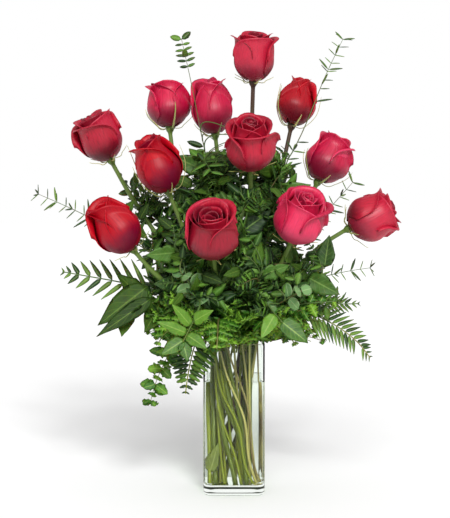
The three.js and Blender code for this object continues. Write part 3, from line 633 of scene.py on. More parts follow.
WATER = ClearFinish("clear water", (0.985, 0.995, 0.965, 1.0), 1.3)
FLOOR = FloorFinish("pale floor", 0.95, 0.95 * 0.985)


# --- reading the frame
# How near two points are one, how many points a section of a stem has at least, and how long a leaf's tip is.
WELD = 0.03
SECTION_POINTS = 4
NEAR_TIP = 1.5


@dataclass
class Leaves:
    """Leaves of one kind: one row for each, in millimetres."""

    root: Array
    tip: Array
    up: Array
    half: Array

    @property
    def middle(self) -> Array:
        """Halfway from root to tip."""
        return (self.root + self.tip) / 2

    def chosen(self, rows: Array) -> Leaves:
        """The leaves of the rows given."""
        return Leaves(self.root[rows], self.tip[rows], self.up[rows], self.half[rows])

    @staticmethod
    def joined(*groups: Leaves) -> Leaves:
        """Several groups of leaves as one."""
        names = ("root", "tip", "up", "half")
        return Leaves(*(np.concatenate([getattr(group, name) for group in groups]) for name in names))


@dataclass
class Twig:
    """A CAD node's stem, as middle points from foot to tip, and its leaves."""

    knots: Array
    leaves: Leaves


def spread(labels: Array, edges: Array) -> Array:
    """Gives every group of joined points the lowest number in it.

    Args:
        labels: a number for each point.
        edges: (n, 2), the pairs of points that are joined.

    Returns:
        The new numbers.
    """
    while True:
        low = labels[edges].min(1)
        new = labels.copy()
        np.minimum.at(new, edges[:, 0], low)
        np.minimum.at(new, edges[:, 1], low)
        if (new == labels).all():
            return labels
        labels = new


def welded(node: str) -> tuple[Array, Array]:
    """A CAD node's points in millimetres and its edges, with points in one place made one.

    Args:
        node: its name.

    Returns:
        The points, (n, 3), and the edges, (m, 2).
    """
    copy = bpy.data.meshes.new("reading")
    loose = bmesh.new()
    loose.from_mesh(frame["nodes"][node].data)
    bmesh.ops.remove_doubles(loose, verts=loose.verts, dist=WELD * MM)
    loose.to_mesh(copy)
    loose.free()
    points = np.empty(3 * len(copy.vertices), np.float32)
    edges = np.empty(2 * len(copy.edges), np.int32)
    copy.vertices.foreach_get("co", points)
    copy.edges.foreach_get("vertices", edges)
    bpy.data.meshes.remove(copy)
    return points.reshape(-1, 3).astype(float) / MM, edges.reshape(-1, 2)


def read_knots(points: Array, links: Array, section: Array, ids: Array) -> Array:
    """Follows a stem from its lowest section to its tip, each time to the nearest joined one.

    Args:
        points: (n, 3).
        links: (m, 2), the sections that are joined.
        section: the number of each point's section.
        ids: the numbers of the stem's sections.

    Returns:
        The middle of each section, in order.
    """
    middles = {i: points[section == i].mean(0) for i in ids}
    links = links[links[:, 0] != links[:, 1]]
    order = [min(ids, key=lambda i: middles[i][2])]
    while True:
        last = order[-1]
        beside = np.concatenate([links[links[:, 0] == last, 1], links[links[:, 1] == last, 0]])
        ahead = [i for i in np.unique(beside) if i not in order]
        if not ahead:
            return np.array([middles[i] for i in order])
        order.append(min(ahead, key=lambda i: float(np.linalg.norm(middles[i] - middles[last]))))


def read_leaf(points: Array, edges: Array, short: Array, own: Array) -> tuple[Array, Array, Array, float]:
    """Reads one leaf: its root is where it joins the stem, and its face looks along the gaps between the
    pairs of points on its two sides.

    Args:
        points: (n, 3), of the whole node.
        edges: (m, 2).
        short: (m,), which edges may lie within a pair.
        own: the numbers of the leaf's points.

    Returns:
        The root, the tip, the way that the leaf's upper side faces, and half of its width.
    """
    mine = np.isin(edges, own)
    root = points[edges[(mine.sum(1) == 1)[:, None] & ~mine]].mean(0)
    cloud = points[own]
    far = np.linalg.norm(cloud - root, axis=1)
    tip = cloud[np.argsort(far)[-2:]].mean(0)
    way = unit(tip - root)
    pairs = edges[mine.all(1) & short]
    gaps = points[pairs[:, 0]] - points[pairs[:, 1]]
    up = across(np.linalg.eigh(gaps.T @ gaps)[1][:, -1], way)
    half = np.abs((cloud - root) @ np.cross(way, up)).max()
    arched = float((cloud[far < far.max() - NEAR_TIP].mean(0) - root) @ up)
    return root, tip, -up if arched < 0 else up, half


def read_twig(node: str, near: float) -> Twig:
    """Reads a node's stem and leaves. Points of one section of the stem stand near each other, four or more
    together, and a leaf's points stand in pairs, one on each of its faces.

    Args:
        node: its name.
        near: how far apart joined points of one section may be.

    Returns:
        The stem and the leaves.
    """
    points, edges = welded(node)
    short = np.linalg.norm(points[edges[:, 0]] - points[edges[:, 1]], axis=1) < near
    section = spread(np.arange(len(points)), edges[short])
    in_stem = np.bincount(section, minlength=len(points))[section] >= SECTION_POINTS
    links = section[edges[in_stem[edges].all(1)]]
    knots = read_knots(points, links, section, np.unique(section[in_stem]))
    leaf = spread(np.arange(len(points)), edges[(~in_stem)[edges].all(1)])
    rows = [read_leaf(points, edges, short, np.flatnonzero((leaf == i) & ~in_stem))
            for i in np.unique(leaf[~in_stem])]
    root, tip, up = (np.array([row[k] for row in rows]).reshape(-1, 3) for k in range(3))
    return Twig(knots, Leaves(root, tip, up, np.array([row[3] for row in rows])))


# --- blades
@dataclass(frozen=True)
class Blade:
    """The shape of one kind of leaf: its outline, its relief and its edge.

    The half width at share v along is v**a * (1 - v)**b, scaled so that the widest place is 1. With teeth,
    it is cut in by their depth between one tooth and the next.
    """

    rows: int
    columns: int
    a: float
    b: float
    fold: float = 0.1
    droop: float = 0.1
    wave: float = 0.0
    teeth: int = 0
    depth: float = 0.0
    thickness: float = 0.5
    waist: float = 0.35

    def outline(self, v: Array) -> Array:
        """The half width as a share of the widest.

        Args:
            v: the share along.

        Returns:
            The half width there.
        """
        peak = self.a / (self.a + self.b)
        wide = v**self.a * (1 - v) ** self.b / (peak**self.a * (1 - peak) ** self.b)
        if self.teeth:
            wide = wide * (1 - self.depth * np.abs(((v * self.teeth) % 1) * 2 - 1))
        return wide

    def grow(self, shells: Shells, leaves: Leaves, tone: Array) -> None:
        """Adds leaves, each a sheet about a line that rises from root to tip and bends down.

        The line at share v is root + v * (tip - root) + droop * length * (v - v * v) * up. A point at share
        u to the side stands half * outline * u from it, lifted by the fold and by a wave along the edge.

        Args:
            shells: where they go.
            leaves: their places and sizes.
            tone: one number from 0 to 1 for each.
        """
        if not len(leaves.root):
            return
        v = np.linspace(0, 1, self.rows)[None, :, None]
        u = np.linspace(-1, 1, self.columns)[None, None, :]
        root, half, turn = (a[:, None, None] for a in (leaves.root, leaves.half, tone))
        span = leaves.tip - leaves.root
        length = np.linalg.norm(span, axis=-1)[:, None, None]
        up = across(leaves.up, unit(span))
        side = np.cross(unit(span), up)[:, None, None]
        up = up[:, None, None]
        wide = np.maximum(self.outline(v) * half, self.waist)
        lift = self.droop * length * (v - v * v) + self.fold * wide * (np.abs(u) - 0.5)
        lift = lift + self.wave * wide * np.abs(u) * np.sin(v * 17 + u * 1.5 + 6 * turn)
        middle = root + span[:, None, None] * v[..., None]
        face = middle + side * (wide * u)[..., None] + up * lift[..., None]
        uv = np.stack(np.broadcast_arrays((u[0] + 1) / 2, v[0]), -1)
        shells.sheets(face, face - up * self.thickness, uv, tone)


SALAL_LEAF = Blade(10, 7, 0.62, 1.15, fold=0.22, droop=0.16, wave=0.16)
BROAD_LEAF = Blade(7, 5, 0.62, 1.1, fold=0.2, droop=0.16, wave=0.1)
DOLLAR_LEAF = Blade(9, 7, 0.5, 0.5, fold=0.06, droop=0.08, wave=0.06)
IVY_LEAF = Blade(9, 5, 0.5, 0.7, fold=0.2, droop=0.2, wave=0.3, teeth=3, depth=0.35)
MYRTLE_LEAF = Blade(6, 3, 0.6, 0.7, fold=0.14, droop=0.12)
RUSCUS_LEAF = Blade(8, 3, 0.6, 0.95, fold=0.18, droop=0.12)
PINNA = Blade(13, 3, 0.4, 0.85, fold=0.16, droop=0.14, teeth=6, depth=0.5, wave=0.25, thickness=0.35)
SWORD_LEAFLET = Blade(8, 3, 0.3, 0.8, fold=0.2, droop=0.1, thickness=0.35)
FEATHER_LEAFLET = Blade(7, 3, 0.4, 0.7, fold=0.2, droop=0.12, teeth=3, depth=0.3, thickness=0.35)
NEEDLE = Blade(7, 3, 0.5, 0.6, fold=0.2, droop=0.1, thickness=0.4)
ROSE_LEAF = Blade(15, 5, 0.6, 0.75, fold=0.2, droop=0.15, teeth=7, depth=0.12)


# --- stems
def frames_of(line: Array, face: Array) -> tuple[Array, Array, Array]:
    """Three square directions at each point of a line.

    Args:
        line: (n, 3).
        face: the way that what stands on it faces, roughly.

    Returns:
        The way along, the way that leaves face there and the way to the left.
    """
    along = unit(np.gradient(line, axis=0))
    normal = across(np.broadcast_to(face, line.shape), along)
    return along, normal, np.cross(normal, along)


def nearest_station(lines: list[Array], point: Array) -> Array:
    """The point of some stems' lines that is nearest to a point."""
    stations = np.concatenate(lines)
    return stations[np.argmin(np.linalg.norm(stations - point, axis=1))]


def stem(shells: Shells, line: Array, radii: Array, sides: int, tone: float = 0.5) -> None:
    """Adds a round stem: at each point of its line a ring of that radius, square to the line.

    Args:
        shells: where it goes.
        line: (n, 3).
        radii: (n,).
        sides: how many sides it has.
        tone: its number from 0 to 1.
    """
    _, normal, left = frames_of(line, np.array([0.11, -0.99, 0.07]))
    angle = (TURN * np.arange(sides) / sides)[None, :, None]
    ring = left[:, None] * np.cos(angle) + normal[:, None] * np.sin(angle)
    rings = line[:, None] + ring * np.reshape(radii, (-1, 1, 1))
    shells.tubes(rings[None], np.array([tone]))


@dataclass(frozen=True)
class Bunches:
    """How stems are drawn into loose bunches inside the vase: how far apart the bunches stand, their phase,
    how far a stem moves to one, how far each bows in x and in y, and how far it stays from the glass."""

    apart: float = 38.0
    phase: float = 0.6
    pull: float = 4.8
    bow: tuple[float, float] = (7.0, 4.0)
    room: float = 3.6

    def gather(self, line: Array, seed: int) -> Array:
        """Moves the part of a stem's line that is inside the vase, and leaves it as it is above it.

        There x goes to x + w * (pull * sin(2 pi x / apart + phase) + bow), and so does y. The weight w is
        half a wave that starts below the floor and ends at the rim. The first term moves neighbours together.

        Args:
            line: (n, 3).
            seed: what the bow is drawn from.

        Returns:
            The new line, (n, 3).
        """
        inside = (np.cumsum(line[:, 2] > VASE.height) == 0)[:, None]
        share = np.clip((line[:, 2:] - VASE.floor) / (VASE.height - VASE.floor), 0, 1)
        bow = np.random.default_rng(seed).uniform(-1, 1, 2) * self.bow
        sway = np.sin(math.pi * (0.2 + 0.8 * share))
        sway = sway * (self.pull * np.sin(TURN * line[:, :2] / self.apart + self.phase) + bow)
        reach = VASE.side / 2 - VASE.wall - self.room
        flat = np.where(inside, np.clip(line[:, :2] + sway, -reach, reach), line[:, :2])
        return np.column_stack([flat, line[:, 2]])


BUNCHES = Bunches()


# --- roses
class Heart(Enum):
    """How the middle of a bloom looks: how far its inner petals close over it, how high its core stands, and
    how pointed its petals are."""

    BUD = (0.92, 0.84, 0.07)
    HALF = (0.66, 0.92, 0.03)
    OPEN = (0.36, 0.8, 0.0)


@dataclass(frozen=True)
class Rose:
    """One rose. Its place, axis, length, width and turn are the CAD model's own.

    Attributes:
        name: the start of its nodes' names.
        at: where the stalk meets the head.
        axis: the way that it points.
        length: from there to its top.
        width: across its belly.
        turn: degrees that its first petal is turned.
        heart: the middle of the bloom.
        cup: how far its outer petals close over the top.
        flares: where their rims fold out, in degrees from +X, and how far.
        finish: its colours.
        petals: how many stand in its outermost whorl.
        front: the way that the middle of one of those faces, in degrees from +X.
        over: 1 where a petal's right edge lies over the next one, -1 where its left edge does.
        collar: how high the outermost whorl reaches.
        sepals: how far up the head its sepals reach, as a share of its length.
        near: the reach of the sepal in front, as a share of the others'.
        brown: how brown its stalk is.
        leaves: leaves of its own stalk: the share along, the turn in degrees round it and the length of each.
    """

    name: str
    at: Triple
    axis: Triple
    length: float
    width: float
    turn: float
    heart: Heart
    cup: float
    flares: tuple[tuple[float, float], ...]
    finish: PetalFinish
    petals: int = 3
    front: float = 270
    over: int = 1
    collar: float = 0.92
    sepals: float = 0.2
    near: float = 1.0
    brown: float = 0.4
    leaves: tuple[Triple, ...] = ()

    @property
    def number(self) -> int:
        """Its number, from 1 to 12, which its random draws start from."""
        return int(self.name[-2:])

    @property
    def base(self) -> Array:
        """Where the stalk meets the head."""
        return np.array(self.at, float)

    @property
    def up(self) -> Array:
        """The way that it points."""
        return unit(np.array(self.axis))

    def basis(self) -> Array:
        """The head's own axes. The shortest turn takes +Z to the head's axis, after a turn about it.

        Returns:
            Three rows: x, y and z.
        """
        z = self.up
        c, s = math.cos(math.radians(self.turn)), math.sin(math.radians(self.turn))
        k = np.cross([0, 0, 1.0], z)
        skew = np.array([[0, -k[2], k[1]], [k[2], 0, -k[0]], [-k[1], k[0], 0]])
        tilt = np.eye(3) + skew + skew @ skew / (1 + z[2])
        return (tilt @ np.array([[c, -s, 0], [s, c, 0], [0, 0, 1]])).T

    def place(self, local: Array) -> Array:
        """Points of the head in the part's frame."""
        return local @ self.basis() + np.array(self.at)


ROSES = (
    Rose("rose_01", (25, 20, 537), (0.03, -0.12, 0.99), 66, 54, 20, Heart.HALF, 0.0, ((350, 1.0), (190, 0.5)),
         CRIMSON, petals=4, front=285, over=-1, sepals=0.12, brown=1.0),
    Rose("rose_02", (-85, 72, 475), (-0.08, 0.12, 0.99), 64, 58, 100, Heart.BUD, 0.5,
         ((185, 1.1), (350, 0.8)), MAGENTA, front=262, sepals=0.42, collar=0.96),
    Rose("rose_03", (-25, 65, 467), (-0.12, 0.0, 0.99), 76, 56, 205, Heart.BUD, 0.6, ((330, 0.7), (150, 0.3)),
         MAGENTA, front=235, collar=0.98),
    Rose("rose_04", (21, -50, 429), (-0.02, -0.5, 0.86), 74, 64, 250, Heart.HALF, 0.4,
         ((60, 0.5), (180, 0.7), (300, 0.6)), CRIMSON, front=275, collar=0.88, sepals=0.12,
         leaves=((0.86, 10, 34),)),
    Rose("rose_05", (77, 75, 478), (0.22, 0.12, 0.97), 66, 53, 310, Heart.BUD, 0.8, ((20, 0.4),),
         DARK_SCARLET, front=300, over=-1, collar=1.0, sepals=0.85, near=0.25, brown=1.0),
    Rose("rose_06", (-161, 15, 436), (-0.42, -0.12, 0.9), 67, 56, 60, Heart.HALF, 0.1,
         ((190, 1.3), (90, 0.7)), CRIMSON, front=215, sepals=0.15, brown=0.5),
    Rose("rose_07", (-85, -30, 398), (-0.36, -0.16, 0.92), 77, 60, 140, Heart.BUD, 0.62, ((185, 1.3),),
         SCARLET, front=330, over=-1, collar=1.0, sepals=0.8, near=0.25),
    Rose("rose_08", (111, 40, 406), (0.42, 0.1, 0.9), 68, 60, 15, Heart.BUD, 0.5, ((350, 1.2), (200, 0.3)),
         MAGENTA, front=250, collar=0.97, sepals=0.45, near=0.4, brown=0.2),
    Rose("rose_09", (-130, -55, 326), (-0.58, -0.22, 0.78), 77, 62, 80, Heart.BUD, 0.75, ((170, 0.6),),
         SCARLET, front=232, collar=1.0, sepals=0.1),
    Rose("rose_10", (-26, -85, 324), (-0.05, -0.62, 0.78), 72, 68, 200, Heart.OPEN, 0.3,
         ((20, 0.5), (150, 0.3)), CRIMSON, front=235, sepals=0.05, collar=0.96),
    Rose("rose_11", (73, -75, 340), (0.28, -0.46, 0.84), 72, 66, 330, Heart.HALF, 0.3, ((0, 1.1), (60, 0.8)),
         MAGENTA, petals=4, front=250, sepals=0.15),
    Rose("rose_12", (150, -15, 348), (0.88, -0.08, 0.46), 66, 62, 170, Heart.HALF, 0.2, ((0, 0.9), (90, 0.6)),
         CRIMSON, front=275, sepals=0.15, brown=0.3, leaves=((0.84, 100, 26), (0.74, 150, 34))),
)


@dataclass(frozen=True)
class Whorl:
    """A ring of petals alike but for chance: how many, how far the first stands from the rose's front and how
    far apart they stand in degrees, and shares of the head's radius and height. Then half the angle that each
    goes round, how much it closes and how much its rim rolls, as shares of the rose's own, and how far up it
    starts."""

    count: int
    first: float
    step: float
    radius: tuple[float, float]
    height: float
    half: float
    heart: float
    cup: float
    roll: float
    foot: float


WHORLS = (
    Whorl(6, 0, 137.5, (0.12, 0.46), 0.99, 1.9, 1.0, 0.0, 0.12, 0.2),
    Whorl(5, 36, 72, (0.58, 0.6), 0.93, 1.4, 0.8, 0.3, 0.25, 0.08),
    Whorl(3, 60, 120, (0.76, 0.76), 0.97, 1.7, 0.35, 0.8, 0.5, 0.03),
    Whorl(0, 0, 0, (0.94, 0.94), 1.0, 1.0, 0.0, 1.0, 1.0, 0.0),
)
OVERLAP = 1.62
NUMBERS = ("angle", "radius", "height", "half", "close", "roll", "foot", "tone", "ring")


@dataclass(frozen=True)
class Bowl:
    """The profile of a head, as shares of its radius by shares of its height: out from its root to the
    belly, and from there in a little to the neck."""

    belly: float = 0.4
    root: float = 0.36
    power: float = 0.72
    neck: float = 0.06
    neck_at: float = 0.84

    def radius(self, share: Array) -> Array:
        """The radius is root + (1 - root) * sin(pi / 2 * share / belly) ** power, less the neck's half wave
        above the belly.

        Args:
            share: of the height.

        Returns:
            The radius there, as a share of the belly's.
        """
        rise = np.sin(math.pi / 2 * np.clip(share / self.belly, 0, 1)) ** self.power
        full = self.root + (1 - self.root) * rise
        swing = np.clip((share - self.belly) / (self.neck_at - self.belly), 0, 1)
        return full - self.neck * (1 - np.cos(math.pi * swing)) / 2


BOWL = Bowl()


@dataclass
class Bloom:
    """The petals of one rose, in whorls that each wrap over the one inside."""

    rose: Rose
    rows: int = 22
    columns: int = 19
    lip_at: float = 0.84
    lip: float = 0.3
    fold: float = 1.9
    edge: float = 0.78
    thickness: float = 0.7

    def layout(self) -> Array:
        """The regular numbers of every petal, from the innermost out.

        Returns:
            (petals, 9), in the order of NUMBERS.
        """
        rose = self.rose
        closing, core, _ = rose.heart.value
        rows = []
        for ring, whorl in enumerate(WHORLS):
            count, step, half = whorl.count, whorl.step, whorl.half
            if not count:
                count, step, half = rose.petals, 360 / rose.petals, math.pi / rose.petals * OVERLAP
            k = np.arange(count)
            share = (k + 1) / count
            radius = rose.width / 2 * (whorl.radius[0] + (whorl.radius[1] - whorl.radius[0]) * share)
            height = rose.length * whorl.height * (1.0 if ring else core + 0.03 * share)
            if not whorl.count:
                height = height * rose.collar
            closed = whorl.heart * closing * (1.0 if ring else 1.1 - 0.3 * share)
            close = np.clip(closed + whorl.cup * rose.cup, 0, 0.95)
            first = rose.front - rose.turn + whorl.first
            # The tone rises from the innermost whorl out, so the inner petals, deeper in the bloom, get more
            # painted shade and the outer ones more painted highlight.
            numbers = [np.radians(first + step * k), radius, height, half, close, whorl.roll, whorl.foot,
                       0.2 + 0.15 * ring, ring]
            rows.append(np.stack(np.broadcast_arrays(*numbers), -1))
        return np.concatenate(rows)

    def petals(self) -> dict[str, Array]:
        """The numbers of every petal, with chance and the rose's flares.

        Returns:
            An array for each of them, shaped to go with a petal's grid.
        """
        rose = self.rose
        draw = np.random.default_rng(rose.number)
        table = self.layout()
        count = len(table)
        table[:, 0] += draw.uniform(-0.12, 0.12, count)
        table[:, 2] *= draw.uniform(0.95, 1.01, count)
        spin = np.degrees(table[:, 0]) + rose.turn
        flare = sum(s * np.exp(-((((spin - at + 180) % 360) - 180) / 42) ** 2) for at, s in rose.flares)
        flare = self.lip + flare * draw.uniform(0.8, 1.15, count)
        numbers = {name: table[:, k].reshape(-1, 1, 1) for k, name in enumerate(NUMBERS)}
        flare = flare.reshape(-1, 1, 1)
        numbers["roll"] = self.fold * numbers["roll"] * flare + 0.05
        opened = np.where(numbers["ring"] >= 2, 1 - 0.55 * np.minimum(flare, 1.2), 1.0)
        numbers["close"] = numbers["close"] * opened
        outer = numbers["ring"] == len(WHORLS) - 1
        numbers["side"] = np.where(outer, 0.8, 0.2) * flare
        numbers["tuck"] = np.where(outer, 2.4, 1.2)
        numbers["drop"] = 0.3 + 0.1 * flare + draw.uniform(0, 0.08, (count, 1, 1))
        numbers["point"] = np.full((count, 1, 1), rose.heart.value[2])
        numbers["wave"] = np.where(outer, 0.6 + 0.9 * flare, 0.4)
        numbers["phase"] = draw.uniform(0, TURN, (count, 1, 1))
        numbers["tone"] = np.clip(numbers["tone"] + draw.uniform(-0.42, 0.36, (count, 1, 1)), 0, 1)
        return numbers

    def surface(self, p: dict[str, Array]) -> Array:
        """The outer face of every petal.

        A petal stands on a cup: out from its foot to a full belly, in a little to a neck, and over its lip,
        which is an arc of the roll angle. The rim falls away to its corners as a superellipse does, and both
        side edges turn out on arcs of their own, the more the higher up. One side stands out over the next
        petal and the other is tucked in.

        Args:
            p: the petals' numbers.

        Returns:
            (petals, rows, columns, 3), in the head's own axes.
        """
        v = np.linspace(0, 1, self.rows)[None, :, None] ** 0.9
        u = np.sin(math.pi / 2 * np.linspace(-1, 1, self.columns))[None, None, :]
        shoulder = 1 - (1 - np.abs(u) ** 2.6) ** (1 / 2.6)
        rim = 1 - p["drop"] * shoulder - p["point"] * np.abs(u) + 0.012 * np.sin(5 * u + p["phase"])
        roll = p["roll"] * (1 + 0.2 * u * np.sin(p["phase"]))
        bend = (1 - self.lip_at) * rim * p["height"] / roll
        past = np.clip((v - self.lip_at) / (1 - self.lip_at), 0, 1) * roll
        share = p["foot"] + (1 - p["foot"]) * np.minimum(v, self.lip_at) * rim
        z = p["height"] * share + bend * np.sin(past)
        radius = p["radius"] * BOWL.radius(share) * (1 - p["close"] * ease(share, 0.38, 1.0)) + 0.4
        half = p["half"] * (0.5 + 0.5 * ease(v, 0, 0.45))
        edge = self.edge
        turned = np.clip((np.abs(u) - edge) / (1 - edge), 0, 1)
        side = p["side"] * ease(v, 0.55, 1.0) + 1e-3
        arc = half * radius * (1 - edge) / side
        swung = half * np.minimum(np.abs(u), edge) + arc * np.sin(side * turned) / radius
        angle = p["angle"] + np.sign(u) * swung
        radius = radius + bend * (1 - np.cos(past)) + arc * (1 - np.cos(side * turned))
        radius = radius + p["tuck"] * self.rose.over * u * ease(v, 0.1, 0.6)
        radius = radius + p["wave"] * ease(v, 0.5, 1.0) * np.sin(4.2 * u + p["phase"])
        return np.stack(np.broadcast_arrays(radius * np.cos(angle), radius * np.sin(angle), z), -1)

    def build(self) -> None:
        """Makes the bloom. A petal's back lies its thickness inside its face, along the face's normal."""
        numbers = self.petals()
        face = self.surface(numbers)
        normal = unit(np.cross(np.gradient(face, axis=2), np.gradient(face, axis=1)))
        back = face - normal * self.thickness
        v, u = np.meshgrid(np.linspace(0, 1, self.rows), np.linspace(0, 1, self.columns), indexing="ij")
        shells = Shells()
        tone = numbers["tone"].ravel()
        shells.sheets(self.rose.place(face), self.rose.place(back), np.stack([u, v], -1), tone)
        dress(shells, self.rose.name + "_bloom", "petals", self.rose.finish, self.rose.name + "_head")


@dataclass
class Stalk:
    """A rose's stalk with its hip, thorns and sepals. The hip is places along the head's axis, and radii."""

    rose: Rose
    foot: float = 3.2
    top: float = 2.7
    sides: int = 12
    points: int = 60
    knuckle: int = 15
    thorns: int = 7
    hip: tuple[tuple[float, float], ...] = (
        (-11.0, 2.7), (-8.5, 3.0), (-6.8, 4.0), (-4.8, 5.2), (-2.6, 5.6),
        (-0.8, 5.5), (0.6, 6.6), (1.6, 7.2), (2.2, 5.0),
    )

    def line(self, twig: Twig) -> Array:
        """The stalk's middle line up to where the hip starts.

        Args:
            twig: the CAD model's stem.

        Returns:
            (points, 3), from foot to hip.
        """
        base, axis, start = self.rose.base, self.rose.up, self.hip[0][0]
        below = twig.knots[(twig.knots - base) @ axis < start + 1.5]
        return smooth_line(np.vstack([below, base + axis * start]), self.points)

    def build(self) -> None:
        """Makes the stalk, and its sepals as a piece of their own."""
        rose = self.rose
        draw = np.random.default_rng(40 + rose.number)
        twig = read_twig(rose.name + "_stem", near=4.0)
        line = BUNCHES.gather(self.line(twig), 10 + rose.number)
        shells = Shells()
        knuckle = np.arange(self.points) % self.knuckle - self.knuckle // 2
        swell = 0.16 * np.exp(-((knuckle / 1.4) ** 2))
        radii = np.linspace(self.foot, self.top, self.points) * (1 + swell)
        hips = np.array(self.hip)
        whole = np.vstack([line, rose.base + rose.up * hips[1:, :1]])
        stem(shells, whole, np.append(radii, hips[1:, 1]), self.sides, rose.brown)
        self.add_thorns(shells, line, draw)
        dress(shells, rose.name + "_stalk", "rose_stem", STALK, rose.name + "_stem")
        shells = Shells()
        self.add_sepals(shells, draw)
        dress(shells, rose.name + "_sepals", "rose_stem", CALYX)
        if rose.leaves:
            self.add_leaves(line, draw)

    def add_leaves(self, line: Array, draw: Draw) -> None:
        """Makes the stalk's own leaves: toothed blades that stand out of it and up.

        Args:
            line: the stalk's middle line.
            draw: the random draw.
        """
        along, normal, left = frames_of(line, np.array(FRONT))
        share, turn, length = np.array(self.rose.leaves).T
        k = (share * (len(line) - 1)).astype(int)
        angle = np.radians(turn)[:, None]
        out = left[k] * np.cos(angle) + normal[k] * np.sin(angle)
        way = unit(out * 0.8 + along[k] * 0.6)
        up = across(normal[k] + along[k] * 0.2, way)
        leaves = Leaves(line[k], line[k] + way * length[:, None], up, length * 0.24)
        shells = Shells()
        ROSE_LEAF.grow(shells, leaves, draw.uniform(0, 1, len(k)))
        dress(shells, self.rose.name + "_leaves", "salal_leaf", DOLLAR)

    def add_thorns(self, shells: Shells, line: Array, draw: Draw) -> None:
        """Adds thorns: small cones that leave the stalk's side, hook down by the square of the share out, and
        thin to a point.

        Args:
            shells: where they go.
            line: the stalk's middle line.
            draw: the random draw.
        """
        at = draw.uniform(0.45, 0.93, self.thorns)
        angle = draw.uniform(0, TURN, self.thorns)[:, None]
        along, normal, left = frames_of(line, np.array([0.1, -1.0, 0.0]))
        k = (at * (len(line) - 1)).astype(int)
        out = left[k] * np.cos(angle) + normal[k] * np.sin(angle)
        share = np.linspace(0, 1, 5)[None, :, None]
        middle = line[k][:, None] + out[:, None] * (2.2 + 4.6 * share) - along[k][:, None] * 2.4 * share**2
        side = np.cross(along[k], out)
        turn = (TURN * np.arange(6) / 6)[None, None, :, None]
        radius = (1.7 * (1 - share) ** 1.3 + 0.12)[..., None]
        rings = middle[:, :, None] + radius * (
            along[k][:, None, None] * 1.6 * np.cos(turn) - side[:, None, None] * np.sin(turn))
        shells.tubes(rings, draw.uniform(0.5, 1.0, self.thorns))

    def add_sepals(self, shells: Shells, draw: Draw) -> None:
        """Adds five long narrow sepals, which pass under the head and turn up round it.

        They stand where the CAD model's own do, and one that another head leaves no room for is shorter. The
        middle line r, z runs out from the hip, dips by half a wave and follows the head's profile up to the
        sepal's height. The width falls with the square root of what is left.

        Args:
            shells: where they go.
            draw: the random draw.
        """
        rose = self.rose
        base, axis = rose.base, rose.up
        normal = across(np.array([0.0, -1.0, 0.0]), axis)
        turn = np.radians(36 + 72 * np.arange(5))[:, None]
        out = np.cross(normal, axis) * np.cos(turn) + normal * np.sin(turn)
        v = np.linspace(0, 1, 16)[None, :, None]
        room = clear_of_heads(base + out * rose.width * 0.62 + axis * rose.length * rose.sepals, rose.name)
        height = rose.length * rose.sepals * draw.uniform(0.8, 1.15, 5) * np.where(room, 1.0, 0.5)
        height[1] *= rose.near
        lift = height[:, None, None] * np.clip((v - 0.22) / 0.78, 0, 1) ** 1.3
        body = rose.width / 2 * 0.96 * BOWL.radius(lift / rose.length)
        away = (draw.uniform(3.0, 9.0, 5) * (1 - 0.7 * rose.sepals))[:, None, None] * ease(v, 0.45, 1.0)
        hip = 5.0
        r = hip + (body + 4.2 - hip) * ease(v, 0.0, 0.3) + away
        z = lift - 1.4 - 1.6 * np.sin(math.pi * np.minimum(v / 0.4, 1.0))
        middle = base + out[:, None] * r + axis * z
        along = unit(np.gradient(middle, axis=1))
        side = np.cross(out, axis)[:, None]
        up = np.cross(side, along)
        wide = np.maximum(1.8 * (1 - v) ** 0.5 * ease(v, -0.2, 0.15), 0.45)[..., None]
        u = np.linspace(-1, 1, 5)[None, None, :, None]
        face = middle[:, :, None] + side[:, :, None] * wide * u + up[:, :, None] * (0.5 * wide * np.abs(u))
        back = face - up[:, :, None] * 0.5
        uv = np.stack(np.broadcast_arrays((u[0, :, :, 0] + 1) / 2, v[0]), -1)
        shells.sheets(back, face, uv, draw.uniform(0.2, 0.9, 5))


# --- greenery
# The shares of a head's length that its clear line runs between, and how far leaves stay off its belly.
HEAD_CORE = (0.1, 0.85)
HEAD_ROOM = 1.0


def beside_heads(points: Array, seen: Triple, margin: float, but: str = "") -> tuple[Array, Array]:
    """Which points stand beside each rose head, taken as a thick line along its axis.

    Args:
        points: (n, 3).
        seen: 1 for each axis that counts, and 0 for one that is looked along.
        margin: how far off they have to stand.
        but: the name of a head that is left out.

    Returns:
        (n, heads), whether they do, and the y of the nearest point of each head's line.
    """
    others = [rose for rose in ROSES if rose.name != but]
    low, high = (np.array([rose.base + rose.up * rose.length * at for rose in others]) for at in HEAD_CORE)
    radius = np.array([rose.width / 2 + HEAD_ROOM for rose in others])
    span = (high - low) * seen
    share = np.clip(((points[:, None] - low) * span).sum(-1) / (span * span).sum(-1), 0, 1)
    nearest = low + (high - low) * share[..., None]
    far = np.linalg.norm((points[:, None] - nearest) * seen, axis=-1)
    return far > radius + margin, nearest[..., 1]


def clear_of_heads(points: Array, but: str = "") -> Array:
    """Which points stand outside every rose head.

    Args:
        points: (n, 3).
        but: the name of a head that is left out.

    Returns:
        (n,), true or false.
    """
    return beside_heads(points, (1.0, 1.0, 1.0), 0.0, but)[0].all(1)


def clear_of_view(points: Array, margin: float = 2.0) -> Array:
    """Which points don't stand in front of a rose head, seen from the front.

    Args:
        points: (n, 3).
        margin: how far beside a head they have to stand. Below 0 they may cover a little of it.

    Returns:
        (n,), true or false.
    """
    beside, depth = beside_heads(points, (1.0, 0.0, 1.0), margin)
    return (beside | (points[:, None, 1] > depth)).all(1)


